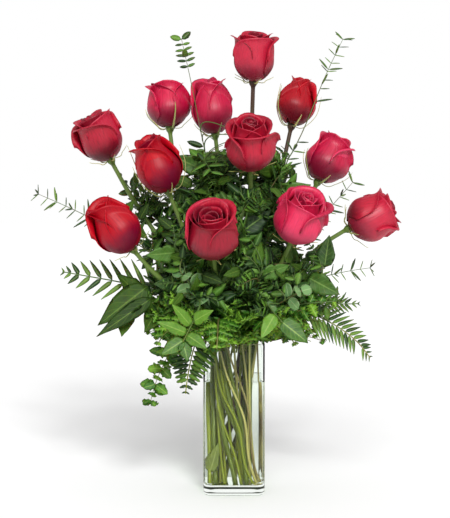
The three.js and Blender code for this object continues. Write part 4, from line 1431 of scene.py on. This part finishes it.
def places_on(line: Array, lengths: Array, face: Array) -> tuple[Array, Array, Array, Array]:
    """Where leaves stand along a twig.

    Args:
        line: the twig's middle line.
        lengths: how far along it they stand.
        face: the way that the leaves face, roughly.

    Returns:
        The points, the way ahead, the way that leaves face there and the way to the left.
    """
    point = along_line(line, lengths)
    ahead = unit(along_line(line, lengths + 1.0) - along_line(line, lengths - 3.0))
    normal = across(np.broadcast_to(face, point.shape), ahead)
    return point, ahead, normal, np.cross(normal, ahead)


def ahead_at(line: Array, points: Array) -> Array:
    """The way along a line, at the station of it that is nearest to each of some points."""
    nearest = np.argmin(np.linalg.norm(points[:, None] - line, axis=-1), axis=1)
    return unit(np.gradient(line, axis=0))[nearest]


@dataclass(frozen=True)
class Shoot:
    """Leaves along a twig: their blade, finish, length, half of their width, their pitch and slant to the
    stem in degrees, and whether they stand in pairs."""

    blade: Blade
    finish: LeafFinish
    length: float
    half: float
    pitch: float
    slant: float
    pair: bool = True

    def leaves(self, line: Array, leafy: float, face: Array, draw: Draw) -> Leaves:
        """Where leaves stand on a line: pairs, each pair a quarter turn on from the last.

        Args:
            line: the twig's middle line.
            leafy: the length of its leafy part, which ends at its tip.
            face: the way that the leaves face.
            draw: the random draw.

        Returns:
            The leaves.
        """
        total = length_of(line)
        lengths = np.arange(total - 1.0, max(8.0, total - leafy), -self.pitch)
        count = len(lengths)
        point, ahead, normal, left = places_on(line, lengths, face)
        quarter = np.arange(count) % 2 * (math.pi / 2 if self.pair else math.pi)
        angle = quarter + draw.uniform(-0.45, 0.45, count)
        if self.pair:
            angle = np.concatenate([angle, angle + math.pi])
            point, ahead, normal, left = (np.concatenate([a, a]) for a in (point, ahead, normal, left))
            lengths = np.concatenate([lengths, lengths])
        outward = left * np.cos(angle)[:, None] + normal * np.sin(angle)[:, None]
        slant = math.radians(self.slant) + draw.uniform(-0.2, 0.2, len(angle))[:, None]
        x = ahead * np.cos(slant) + outward * np.sin(slant)
        edge_on = np.abs(dot(outward, normal)) > 0.7
        up = across(np.where(edge_on, ahead, normal), x)
        grown = 0.6 + 0.4 * np.minimum(1, (total - lengths) / (3 * self.pitch))
        size = grown * draw.uniform(0.85, 1.12, len(angle))
        tip = point + x * (self.length * size)[:, None] - up * (0.1 * self.length * size)[:, None]
        return Leaves(point, tip, up, self.half * size)


@dataclass(frozen=True)
class Frond:
    """Leaflets along both sides of a rib: their blade, finish, how long the longest is, half of its width,
    their pitch, how far they lean towards the tip, how much they shorten on the way there and how unevenly
    they turn."""

    blade: Blade
    finish: LeafFinish
    reach: float
    half: float
    pitch: float
    lean: float = 0.4
    taper: float = 0.8
    twist: float = 0.16

    def leaves(self, line: Array, leafy: float, face: Array, draw: Draw) -> Leaves:
        """Where leaflets stand on a rib, flat across it.

        Args:
            line: the rib's middle line.
            leafy: the length of its leafy part, which ends at its tip.
            face: the way that the frond faces.
            draw: the random draw.

        Returns:
            The leaflets.
        """
        total = length_of(line)
        leafy = min(leafy, total - 6.0)
        lengths = np.arange(total - 0.5, total - leafy, -self.pitch)
        share = (total - lengths) / leafy
        point, ahead, normal, left = places_on(line, lengths, face)
        reach = self.reach * (1 - self.taper * (1 - share)) * draw.uniform(0.88, 1.1, len(share))
        rows = []
        for side in (-1.0, 1.0):
            turn, roll = draw.uniform(-self.twist, self.twist, (2, len(share), 1))
            x = unit(side * left + ahead * (self.lean + turn * 0.5) + normal * turn)
            tip = point + x * reach[:, None] - normal * (0.14 * reach)[:, None]
            up = across(normal + ahead * roll * 1.5, x)
            rows.append(Leaves(point, tip, up, self.half * (0.45 + 0.55 * share)))
        return Leaves.joined(*rows)


@dataclass(frozen=True)
class Fitting:
    """How a frond of the CAD model is dressed: its leaflets' blade and finish, the pitch of small ones on
    its bare end, how many times as wide and as long its own ones become, whether more stand between them,
    how far they turn to the front and how far they sweep towards the tip."""

    blade: Blade
    finish: LeafFinish
    pitch: float
    wide: float = 1.0
    long: float = 1.0
    doubled: bool = False
    faced: float = 0.0
    swept: float = 0.0

    def fit(self, found: Leaves, line: Array) -> Leaves:
        """A rib's leaflets in these proportions, on the same roots.

        Args:
            found: the leaflets.
            line: the rib's middle line.

        Returns:
            The new leaflets.
        """
        span = found.tip - found.root
        length = np.linalg.norm(span, axis=-1, keepdims=True) * self.long
        way = unit(unit(span) + ahead_at(line, found.root) * self.swept)
        up = across(found.up + np.array(FRONT) * self.faced, way)
        return Leaves(found.root, found.root + way * length, up, found.half * self.wide)


FILLERS = {
    "pointed_leaves": Shoot(RUSCUS_LEAF, RUSCUS, 30, 6.4, 9, 48, False),
    "dark_fronds": Frond(FEATHER_LEAFLET, FEATHER, 21, 3.1, 6.5),
    "small_leaves": Shoot(MYRTLE_LEAF, MYRTLE, 17, 4.2, 8.5, 55),
    "broad_leaves": Shoot(BROAD_LEAF, SHADED, 42, 12, 17, 56, False),
}
FILLER_SHARES = (0.2, 0.42, 0.22, 0.16)
COLLAR = Frond(PINNA, FERN, 42, 11.5, 12.5, 0.6, 0.85, twist=0.3)
PAIRED = Frond(NEEDLE, MYRTLE, 16, 4.0, 7.5, 0.15, 0.3)
NEEDLED = Frond(NEEDLE, SWORD, 18, 1.4, 13.0, 0.45, 0.3)
IVY = Shoot(IVY_LEAF, FERN, 18, 8.0, 11.0, 62)
KINDS = {
    "myrtle": Shoot(MYRTLE_LEAF, MYRTLE, 19, 4.4, 12, 58),
    "salal": Shoot(SALAL_LEAF, SALAL, 60, 17, 25, 56, False),
    "dollar": Shoot(DOLLAR_LEAF, DOLLAR, 26, 11.5, 22, 70),
    "fern": Fitting(PINNA, FERN, 13, wide=1.9, faced=1.0),
    "sword": Fitting(SWORD_LEAFLET, SWORD, 7, wide=0.6, long=1.25, doubled=True, swept=0.4),
}
OWN_KINDS = {
    "fern_05": Fitting(FEATHER_LEAFLET, FEATHER, 8.0, wide=0.85, doubled=True),
    "sword_01": Fitting(SWORD_LEAFLET, SWORD, 8.5, wide=0.68, long=1.4, swept=0.55),
    "salal_01": Shoot(SALAL_LEAF, SHADED, 60, 17, 25, 56, False),
}
SPRIGS = {
    "dollar_01": IVY, "myrtle_01": PAIRED, "myrtle_02": NEEDLED, "myrtle_03": NEEDLED,
    "myrtle_05": NEEDLED, "myrtle_06": NEEDLED,
}
HUNG = {"salal_01": (((-110, -46, 276), (-174, -60, 227), 17.5), ((-104, -52, 262), (-175, -70, 214), 11.0))}


def hung_leaves(node: str) -> Leaves:
    """The leaves that hang lower on a twig than the CAD model's own, where the photograph shows them.

    Args:
        node: the twig's name.

    Returns:
        The leaves, on most twigs none.
    """
    rows = HUNG.get(node, ())
    root, tip = (np.array([row[k] for row in rows], float).reshape(-1, 3) for k in range(2))
    return Leaves(root, tip, np.tile((0.2, -1.0, 0.5), (len(rows), 1)), np.array([row[2] for row in rows]))


def between(found: Leaves, knots: Array) -> Leaves:
    """Leaflets halfway between each two neighbours on one side of a rib.

    Args:
        found: the CAD leaflets.
        knots: the rib's points from foot to tip.

    Returns:
        The new leaflets.
    """
    ahead = ahead_at(knots, found.root)
    left = dot(np.cross(found.up, ahead), found.tip - found.root)[:, 0] > 0
    place = dot(found.root - knots[-1], ahead)[:, 0]
    rows = []
    for side in (True, False):
        own = np.flatnonzero(left == side)
        own = own[np.argsort(place[own])]
        step = np.linalg.norm(np.diff(found.root[own], axis=0), axis=1)
        close = step < 1.5 * np.median(step) if len(step) else np.empty(0, bool)
        rows.append(np.stack([own[:-1][close], own[1:][close]], -1))
    pairs = np.concatenate(rows)
    mean = [(a[pairs[:, 0]] + a[pairs[:, 1]]) / 2 for a in (found.root, found.tip, found.up)]
    return Leaves(*mean, found.half[pairs].mean(1))


def end_leaflets(found: Leaves, line: Array, pitch: float) -> Leaves:
    """Leaflets on the bare end of a rib, like the last two of the CAD model but smaller and smaller.

    Args:
        found: the CAD leaflets.
        line: the rib's middle line.
        pitch: how far apart they stand.

    Returns:
        The new leaflets.
    """
    far = np.linalg.norm(found.root - line[-1], axis=1)
    last = np.argsort(far)[:2]
    back = np.arange(pitch * 0.3, far.min() - pitch * 0.5, pitch)
    size = (0.3 + 0.65 * back / far.min())[:, None, None]
    root = along_line(line, length_of(line) - back)[:, None] * np.ones((1, 2, 1))
    tip = root + (found.tip - found.root)[last] * size
    up = found.up[last] * np.ones_like(size)
    return Leaves(*(a.reshape(-1, 3) for a in (root, tip, up)), (found.half[last] * size[..., 0]).ravel())


@dataclass
class Green:
    """One green stem of the CAD model, dressed with finer leaves in the same places and more between them."""

    node: str
    slot: str
    radius: tuple[float, float] = (1.9, 0.7)
    thinner: float = 0.45
    points: int = 48
    sides: int = 6
    straw_from: float = 6.0
    lowest_tip: float = 205.0
    lowest_middle: float = 214.0
    margin: float = -4.0
    sprig_margin: float = 3.0

    @property
    def kind(self) -> Shoot | Fitting:
        """How it is dressed."""
        return OWN_KINDS.get(self.node, KINDS[self.node.split("_")[0]])

    def build(self) -> Array:
        """Makes the stem and the leaves, which are two pieces.

        Returns:
            The stem's middle line.
        """
        seed = sum(map(ord, self.node))
        draw = np.random.default_rng(seed)
        twig = read_twig(self.node, near=3.0)
        line = BUNCHES.gather(smooth_line(twig.knots, self.points), seed)
        foot, end = self.radius
        sprig, kind = SPRIGS.get(self.node), self.kind
        shells = Shells()
        radii = np.linspace(foot, end * (self.thinner if sprig else 1.0), self.points)
        stem(shells, line, radii, self.sides, float(draw.uniform(0.2, 0.8)))
        pale = line[line[:, 2] < VASE.level].mean(0)[0] > self.straw_from
        dress(shells, self.node + "_stem", self.slot, STRAW if pale else TWIG, self.node)
        if sprig:
            leaves = self.sprig_leaves(twig.leaves, line, sprig, draw)
        elif isinstance(kind, Fitting):
            leaves = self.frond_leaves(twig, line, kind)
        else:
            leaves = self.shoot_leaves(twig.leaves, line, kind, draw)
        leaves = leaves.chosen(clear_of_view(leaves.middle, self.sprig_margin if sprig else self.margin))
        shells = Shells()
        look = sprig or kind
        look.blade.grow(shells, leaves, draw.uniform(0, 1, len(leaves.root)))
        dress(shells, self.node + "_leaves", self.slot, look.finish)
        return line

    def frond_leaves(self, twig: Twig, line: Array, kind: Fitting) -> Leaves:
        """A frond's own leaflets, with small ones on its bare end and, if its kind says so, more between.

        Args:
            twig: the CAD model's frond.
            line: its middle line.
            kind: how it is dressed.

        Returns:
            The leaflets.
        """
        added = [between(twig.leaves, twig.knots)] if kind.doubled else []
        ends = end_leaflets(twig.leaves, line, kind.pitch)
        return kind.fit(Leaves.joined(twig.leaves, *added, ends), line)

    def sprig_leaves(self, found: Leaves, line: Array, sprig: Shoot | Frond, draw: Draw) -> Leaves:
        """A sprig's own leaves in its kind's width, with more along its upper half.

        Args:
            found: the CAD model's leaves.
            line: its middle line.
            sprig: its kind.
            draw: the random draw.

        Returns:
            The leaves.
        """
        own = Leaves(found.root, found.tip, found.up, np.full(len(found.root), sprig.half))
        return Leaves.joined(own, sprig.leaves(line, length_of(line) * 0.5, np.array(FRONT), draw))

    def shoot_leaves(self, found: Leaves, line: Array, kind: Shoot, draw: Draw) -> Leaves:
        """A branch's own leaves, with more between them where they stand clear of the roses and the vase.

        Args:
            found: the CAD model's leaves.
            line: its middle line.
            kind: how it is dressed.
            draw: the random draw.

        Returns:
            The leaves.
        """
        face = unit(found.up.mean(0)) if len(found.up) else np.array(FRONT)
        extra = kind.leaves(line, length_of(line) * 0.55, face, draw)
        keep = clear_of_heads(extra.middle) & clear_of_heads(extra.tip) & clear_of_view(extra.middle)
        gap = np.linalg.norm(extra.root[:, None] - found.root[None], axis=-1).min(1)
        keep &= gap > kind.pitch * 0.3
        keep &= (extra.tip[:, 2] > self.lowest_tip) & (extra.middle[:, 2] > self.lowest_middle)
        return Leaves.joined(found, extra.chosen(keep), hung_leaves(self.node))


# Where the vase's space starts in y, half of its width, the x that its rim shows between, and three heights.
BEHIND_FROM, BEHIND_HALF, RIM_SHOWS = -44.0, 60.0, (2.0, 110.0)
OVER_VASE, OVER_RIM, IN_FRONT = 212.0, 204.0, 176.0


def lowest(points: Array, hang: float) -> Array:
    """How low filling leaves may hang there.

    Args:
        points: (n, 3).
        hang: how low they may hang in front and at the left. They stop above the rim in and behind the vase,
            and on its right, where the photographed rim shows.

    Returns:
        (n,), heights.
    """
    x, y = points[:, 0], points[:, 1]
    behind = (y > BEHIND_FROM) & (np.abs(x) < BEHIND_HALF)
    right = (x > RIM_SHOWS[0]) & (x < RIM_SHOWS[1])
    return np.maximum(np.where(behind, OVER_VASE, np.where(right, OVER_RIM, IN_FRONT)), hang)


@dataclass
class Bush:
    """The dense middle of the bouquet: side shoots that grow from the green stems and fill the space between.

    Targets are drawn in an egg-shaped space, and a shoot runs to each from the nearest green stem below it.

    Attributes:
        lines: the green stems' middle lines.
        seed: what the draws start from.
        shoots: how many targets are drawn.
        middle: of the egg.
        radii: of the egg.
        crown: how far its top is drawn up.
        nearest: how long a shoot is at least.
        furthest: how long a shoot is at most.
        from_height: how high a shoot starts at least.
        leafy: how much of a shoot has leaves.
        hang: how low its leaves may hang.
        label: the start of its pieces' names.
    """

    lines: list[Array]
    seed: int = 7
    shoots: int = 470
    middle: Triple = (0.0, 0.0, 294.0)
    radii: Triple = (116.0, 98.0, 102.0)
    crown: float = 72.0
    nearest: float = 34.0
    furthest: float = 100.0
    from_height: float = 192.0
    leafy: float = 75.0
    hang: float = 238.0
    label: str = "filling"

    def targets(self, draw: Draw) -> Array:
        """Points in the egg, more of them near its skin than at its heart.

        Args:
            draw: the random draw.

        Returns:
            (shoots, 3).
        """
        way = unit(draw.normal(size=(self.shoots, 3)) + (0.0, 0.0, 0.25))
        depth = draw.uniform(0.12, 1.0, (self.shoots, 1)) ** 0.45
        egg = way * depth * np.array(self.radii)
        high = ease(egg[:, 2], 10.0, self.radii[2])[:, None]
        egg = egg * (1 - high * (0.2, 0.3, 0.0)) + high * (0.0, 0.0, self.crown)
        return np.array(self.middle) + egg

    def paths(self, draw: Draw) -> list[tuple[Array, Array]]:
        """Where the shoots run that stay clear of the rose heads.

        Args:
            draw: the random draw.

        Returns:
            The middle line of each and the way that its leaves face.
        """
        stations = np.concatenate(self.lines)
        ahead = np.concatenate([unit(np.gradient(line, axis=0)) for line in self.lines])
        high = stations[:, 2] > self.from_height
        stations, ahead = stations[high], ahead[high]
        made = []
        for target in self.targets(draw):
            below = stations[:, 2] < target[2] + 5.0
            far = np.linalg.norm(stations - target, axis=1)
            usable = np.flatnonzero(below & (far > self.nearest) & (far < self.furthest))
            if not len(usable):
                continue
            k = usable[np.argmin(far[usable] + draw.uniform(0, 20, len(usable)))]
            line = arch(stations[k], stations[k] + ahead[k] * far[k] * 0.45, target, 14)
            if clear_of_heads(line[4:]).all():
                out = unit((target - np.array(self.middle)) / np.array(self.radii))
                made.append((line, unit(out + np.array(FRONT) * 0.9 + draw.normal(size=3) * 0.25)))
        return made

    def build(self) -> None:
        """Makes a piece of leaves for each kind of shoot, and one of all their twigs."""
        draw = np.random.default_rng(self.seed)
        paths = self.paths(draw)
        picked = draw.choice(len(FILLERS), len(paths), p=FILLER_SHARES)
        twigs = Shells()
        for index, (name, kind) in enumerate(FILLERS.items()):
            groups = []
            for k in np.flatnonzero(picked == index):
                line, face = paths[k]
                stem(twigs, line, np.linspace(1.0, 0.45, len(line)), 5, float(draw.uniform(0.2, 0.8)))
                groups.append(kind.leaves(line, self.leafy, face, draw))
            if groups:
                self.grow(name, kind, Leaves.joined(*groups), draw)
        dress(twigs, self.label + "_twigs", "myrtle_leaf", TWIG)

    def grow(self, name: str, kind: Shoot | Frond, leaves: Leaves, draw: Draw) -> None:
        """Makes a piece of the leaves that don't stand in or in front of a rose.

        Args:
            name: the end of the piece's name.
            kind: their blade and finish.
            leaves: all of them.
            draw: the random draw.
        """
        keep = np.ones(len(leaves.root), bool)
        for point in (leaves.tip, leaves.middle):
            keep &= clear_of_heads(point) & clear_of_view(point) & (point[:, 2] > lowest(point, self.hang))
        leaves = leaves.chosen(keep)
        shells = Shells()
        kind.blade.grow(shells, leaves, draw.uniform(0, 1, len(leaves.root)))
        dress(shells, f"{self.label}_{name}", "myrtle_leaf", kind.finish)


# Each frond stands this much further round than the last, in radians, so that no two stand in line.
GOLDEN_ANGLE = 2.399963


@dataclass
class Collar(Bush):
    """Bright serrated fern fronds that spread over the vase's rim on all sides."""

    seed: int = 11
    shoots: int = 48
    leafy: float = 98.0
    hang: float = 176.0

    def paths(self, draw: Draw) -> list[tuple[Array, Array]]:
        """The fronds' ribs: up out of the mouth, over the rim and out.

        Args:
            draw: the random draw.

        Returns:
            The middle line of each and the way that it faces.
        """
        made = []
        for k in range(self.shoots):
            angle = GOLDEN_ANGLE * k + float(draw.uniform(-0.2, 0.2))
            way = np.array([math.cos(angle), math.sin(angle), 0.0])
            rise = float(draw.uniform(0, 1))
            start = way * 16 + np.array([0, 0, 186.0])
            bend = way * 48 + np.array([0, 0, 224.0 + 22 * rise])
            end = way * (100 + 24 * float(draw.uniform(0, 1))) + np.array([0, 0, 200.0 + 80 * rise])
            face = unit(np.array([0, 0, 0.6]) + way * 0.35 + np.array(FRONT) * 1.1)
            made.append((arch(start, bend, end, 16), face))
        return made

    def build(self) -> None:
        """Makes the ribs and the leaflets."""
        draw = np.random.default_rng(self.seed)
        twigs = Shells()
        groups = []
        for line, face in self.paths(draw):
            stem(twigs, line, np.linspace(1.1, 0.5, len(line)), 5, float(draw.uniform(0.2, 0.8)))
            groups.append(COLLAR.leaves(line, self.leafy, face, draw))
        dress(twigs, "collar_ribs", "fern_leaf", TWIG)
        self.grow("bright_fern", COLLAR, Leaves.joined(*groups), draw)


# --- vase and water
def square_ring(half: Array, radius: Array, z: Array, points: int, flat: float = 2.0) -> Array:
    """Square rings with round corners, counter-clockwise from above.

    A corner is an arc, with one more point on the straight at each end of it, so that the sides shade flat.

    Args:
        half: (rings,), half of the side.
        radius: (rings,), of the corners.
        z: (rings,).
        points: how many points each arc has.
        flat: how far along the straight the further points stand.

    Returns:
        (rings, 4 * (points + 2), 3).
    """
    corner = np.arange(4)[:, None]
    share = np.concatenate([[0], np.linspace(0, 1, points), [1]])
    past = np.concatenate([[-1], np.zeros(points), [1]])[None]
    angle = (corner + share[None]) * math.pi / 2
    sx = np.where((corner == 0) | (corner == 3), 1, -1) * np.ones_like(angle)
    sy = np.where(corner < 2, 1, -1) * np.ones_like(angle)
    half, radius, z = (np.reshape(a, (-1, 1, 1)) for a in (half, radius, z))
    past = past * np.minimum(flat, (half - radius) / 2)
    x = sx * (half - radius) + radius * np.cos(angle) - past * np.sin(angle)
    y = sy * (half - radius) + radius * np.sin(angle) + past * np.cos(angle)
    return np.stack(np.broadcast_arrays(x, y, z), -1).reshape(len(half), -1, 3)


def joined_profile(*parts: tuple[Array | list[float], Array | list[float]]) -> Array:
    """Joins the parts of a profile, each given as half widths and heights.

    Args:
        parts: in order.

    Returns:
        (stations, 2).
    """
    return np.concatenate([np.stack([np.asarray(w, float), np.asarray(z, float)], -1) for w, z in parts])


@dataclass
class Vase:
    """The square glass vase and the water in it, with the CAD model's sizes."""

    side: float = 80
    height: float = 200
    wall: float = 4
    floor: float = 14
    corner: float = 10
    heel: float = 7
    scoop: float = 3
    level: float = 150
    overlap: float = 0.3
    points: int = 10

    def build(self) -> None:
        """Makes both pieces. The water reaches a little way into the glass, so that no air shows between."""
        half = self.side / 2
        shells = Shells()
        shells.tubes(self.rings(self.skin(half))[None], np.array([0.5]))
        dress(shells, "vase_glass", "glass", GLASS, "vase")
        shells = Shells()
        shells.tubes(self.rings(self.filling(half - self.wall + self.overlap))[None], np.array([0.5]))
        dress(shells, "vase_water", "water", WATER, "water")

    def rings(self, profile: Array) -> Array:
        """The square rings of a profile, with rounder corners on the outside.

        Args:
            profile: (stations, 2), half widths and heights.

        Returns:
            (stations, points round, 3).
        """
        inset = np.clip(self.side / 2 - profile[:, 0], 0, self.wall)
        radii = np.clip(np.minimum(self.corner - inset, profile[:, 0] - 0.5), 0.8, None)
        return square_ring(profile[:, 0], radii, profile[:, 1], self.points)

    def skin(self, half: float) -> Array:
        """The glass: from under the foot up the outside, over the rim, down the inside and over the floor.

        Args:
            half: half of the side.

        Returns:
            (stations, 2), half widths and heights. Next to each bend is one more station on the straight.
        """
        turn = np.linspace(0, math.pi / 2, 6)
        lip = np.linspace(0, math.pi, 9)
        bowl = np.linspace(0, math.pi / 2, 5)
        edge, inside = self.wall / 2, half - self.wall
        return joined_profile(
            ([half - self.heel - 14, half - self.heel - 10], [1.2, 1.2]),
            (half - self.heel * (1 - np.sin(turn)), self.heel * (1 - np.cos(turn))),
            ([half, half], [self.heel + 2, self.height - edge - 2]),
            (half - edge + edge * np.cos(lip), self.height - edge + edge * np.sin(lip)),
            ([inside, inside], [self.height - edge - 2, self.floor + self.scoop + 2]),
            (inside - self.scoop * (1 - np.cos(bowl)), self.floor + self.scoop * (1 - np.sin(bowl))),
            ([inside - self.scoop - 2, 6.0], [self.floor, self.floor]),
        )

    def filling(self, half: float) -> Array:
        """The water: its underside, its sides and its top, which climbs a little at the glass.

        Args:
            half: half of the water's side.

        Returns:
            (stations, 2), half widths and heights.
        """
        bowl = np.linspace(0, math.pi / 2, 5)
        base = self.floor + 0.15
        return joined_profile(
            ([half - 9, half - 5], [base, base]),
            (half - self.scoop * (1 - np.sin(bowl)), base + self.scoop * (1 - np.cos(bowl))),
            ([half, half], [base + self.scoop + 2, self.level - 1]),
            ([half, half - 1, half - 2.4], [self.level + 1, self.level + 0.4, self.level + 0.05]),
            ([half - 4, half - 6, half - 12], [self.level, self.level, self.level]),
        )


VASE = Vase()


@dataclass
class SoakedLeaf:
    """A leaf left on a lower stem, which stands in the water at the front left corner and leans on the
    glass."""

    lines: list[Array]
    near: Triple = (-24.0, -27.0, 30.0)
    tip: Triple = (-20.0, -33.5, 70.0)
    half: float = 9.0

    def build(self) -> None:
        """Grows the leaf from the point of a stem that is nearest to its foot."""
        foot = nearest_station(self.lines, np.array(self.near))
        up = np.array([[-0.35, -1.0, 0.1]])
        leaf = Leaves(foot[None], np.array([self.tip]), up, np.array([self.half]))
        shells = Shells()
        SALAL_LEAF.grow(shells, leaf, np.array([0.6]))
        dress(shells, "leaf_in_water", "salal_leaf", SOAKED)


@dataclass(frozen=True)
class Spray:
    """A side shoot that lies over the collar, with broad leaves where the photograph shows them, made lighter
    with painted light.

    Attributes:
        label: the start of its pieces' names.
        bend: where it arches over the collar.
        end: where it ends.
        leaves: the share along the shoot, the tip and half of the width of each leaf.
        points: how many stations its middle line has.
    """

    label: str
    bend: Triple
    end: Triple
    leaves: tuple[tuple[float, Triple, float], ...]
    points: int = 16

    def build(self, lines: list[Array]) -> None:
        """Makes the shoot and its leaves.

        Args:
            lines: the green stems' middle lines. It grows from the nearest.
        """
        start = nearest_station(lines, np.array(self.bend))
        line = smooth_line(np.array([start, self.bend, self.end]), self.points)
        shells = Shells()
        stem(shells, line, np.linspace(1.2, 0.7, self.points), 6)
        dress(shells, self.label + "_twig", "salal_leaf", TWIG)
        share, tip, half = (np.array(column, float) for column in zip(*self.leaves))
        root = along_line(line, share * length_of(line))
        leaves = Leaves(root, tip, np.tile((0.1, -1.0, 0.45), (len(root), 1)), half)
        shells = Shells()
        SALAL_LEAF.grow(shells, leaves, np.linspace(0.9, 0.3, len(root)))
        # The leaves take the lighter broad leaf finish, which paints light on them.
        dress(shells, self.label + "_leaves", "salal_leaf", LIT_BROAD)


SPRAYS = (
    Spray("left_spray", (-44.0, -84.0, 254.0), (-64.0, -114.0, 214.0), (
        (0.62, (-26.0, -116.0, 254.0), 9.0),
        (0.7, (-78.0, -118.0, 262.0), 8.5),
        (0.84, (-97.0, -118.0, 240.0), 8.5),
        (0.86, (-34.0, -122.0, 206.0), 9.5),
        (0.96, (-92.0, -121.0, 198.0), 10.5),
        (1.0, (-58.0, -122.0, 190.0), 9.0),
    )),
    Spray("right_spray", (44.0, -84.0, 256.0), (60.0, -110.0, 238.0), (
        (0.7, (33.0, -117.0, 218.0), 10.0),
        (0.95, (92.0, -112.0, 212.0), 14.0),
    )),
)


# --- the studio
@dataclass
class Studio:
    """The pale floor, the soft lights and the camera at the photograph's angle."""

    target: Triple = (-0.0117, 0.0, 0.30597)
    distance: float = 2.6
    elevation: float = 6.0
    frame_height: float = 0.6734
    sensor: float = 36.0
    daylight: float = 0.62

    def floor(self) -> None:
        """A flat square under the vase."""
        reach = 4000.0
        corners = np.array([[-reach, -reach], [reach, -reach], [reach, reach], [-reach, reach]])
        rings = np.stack([np.column_stack([corners, np.full(4, z)]) for z in (-20.0, -0.02)])
        shells = Shells()
        shells.tubes(rings[None], np.array([0.5]))
        made = shells.build("floor", FLOOR)
        made.data.shade_flat()

    def light(self, name: str, azimuth: float, elevation: float, power: float, spread_angle: float) -> None:
        """A soft even light from far away.

        Args:
            name: its name.
            azimuth: degrees to the right of the camera's side.
            elevation: degrees above the horizon.
            power: in watts to the square metre.
            spread_angle: degrees that it fills, which decides how soft its shadows are.
        """
        data = bpy.data.lights.new(name, "SUN")
        data.energy, data.angle = power, math.radians(spread_angle)
        made = bpy.data.objects.new(name, data)
        side, lift = math.radians(azimuth), math.radians(elevation)
        back = Vector((math.sin(side) * math.cos(lift), -math.cos(side) * math.cos(lift), math.sin(lift)))
        made.rotation_euler = back.to_track_quat("Z", "Y").to_euler()
        made.visible_transmission = False
        bpy.context.scene.collection.objects.link(made)

    def sky(self) -> None:
        """White all round, seen brighter, also through glass, than it lights."""
        world = bpy.data.worlds.new("white")
        bpy.context.scene.world = world
        world.use_nodes = True
        nodes = Nodes(world.node_tree)
        nodes.tree.nodes.remove(nodes.tree.nodes["Background"])
        white = {"Color": (1, 1, 1, 1)}
        lit, seen = (nodes.add("ShaderNodeBackground", {}, white | {"Strength": strength})
                     for strength in (self.daylight, 1.0))
        camera, glass = (nodes.add("ShaderNodeLightPath", {}, {}, ray)
                         for ray in ("Is Camera Ray", "Is Transmission Ray"))
        nodes.surface(nodes.add("ShaderNodeMixShader", {}, {0: camera.larger(glass), 1: lit, 2: seen}))

    def camera(self) -> None:
        """The camera, whose long side takes in the frame height at the bouquet."""
        data = bpy.data.cameras.new("camera")
        data.sensor_fit = "VERTICAL"
        data.sensor_height = self.sensor
        data.lens = self.sensor * self.distance / self.frame_height
        data.clip_end = 50
        made = bpy.data.objects.new("camera", data)
        lift = math.radians(self.elevation)
        target = Vector(self.target)
        made.location = target + self.distance * Vector((0, -math.cos(lift), math.sin(lift)))
        made.rotation_euler = (target - made.location).to_track_quat("-Z", "Y").to_euler()
        bpy.context.scene.collection.objects.link(made)
        bpy.context.scene.camera = made

    def build(self) -> None:
        """Sets it all up."""
        self.camera()
        self.floor()
        self.sky()
        self.light("key light", azimuth=13, elevation=32, power=2.1, spread_angle=13)
        self.light("fill light", azimuth=-8, elevation=38, power=0.9, spread_angle=18)
        view = bpy.context.scene.view_settings
        view.view_transform = "Standard"
        view.look = "None"


def main() -> None:
    """Builds every part of the scene in order."""
    logging.basicConfig(level=logging.INFO, format="%(name)s: %(message)s")
    Studio().build()
    for rose in ROSES:
        Bloom(rose).build()
        Stalk(rose).build()
    slots = {entry["node"]: entry["material_slot"] for entry in frame["record"]["subparts"]}
    greens = [name for name in sorted(frame["nodes"]) if name.split("_")[0] in KINDS]
    lines = [Green(name, slots[name]).build() for name in greens]
    Bush(lines).build()
    Bush(lines, seed=5, shoots=84, middle=(10.0, 12.0, 396.0), radii=(84.0, 56.0, 60.0), crown=0.0,
         label="crown").build()
    Bush(lines, seed=6, shoots=26, middle=(-94.0, 5.0, 362.0), radii=(42.0, 40.0, 50.0), crown=0.0,
         label="flank").build()
    Collar(lines).build()
    SoakedLeaf(lines).build()
    for spray in SPRAYS:
        spray.build(lines)
    VASE.build()


if __name__ == "__main__":
    main()
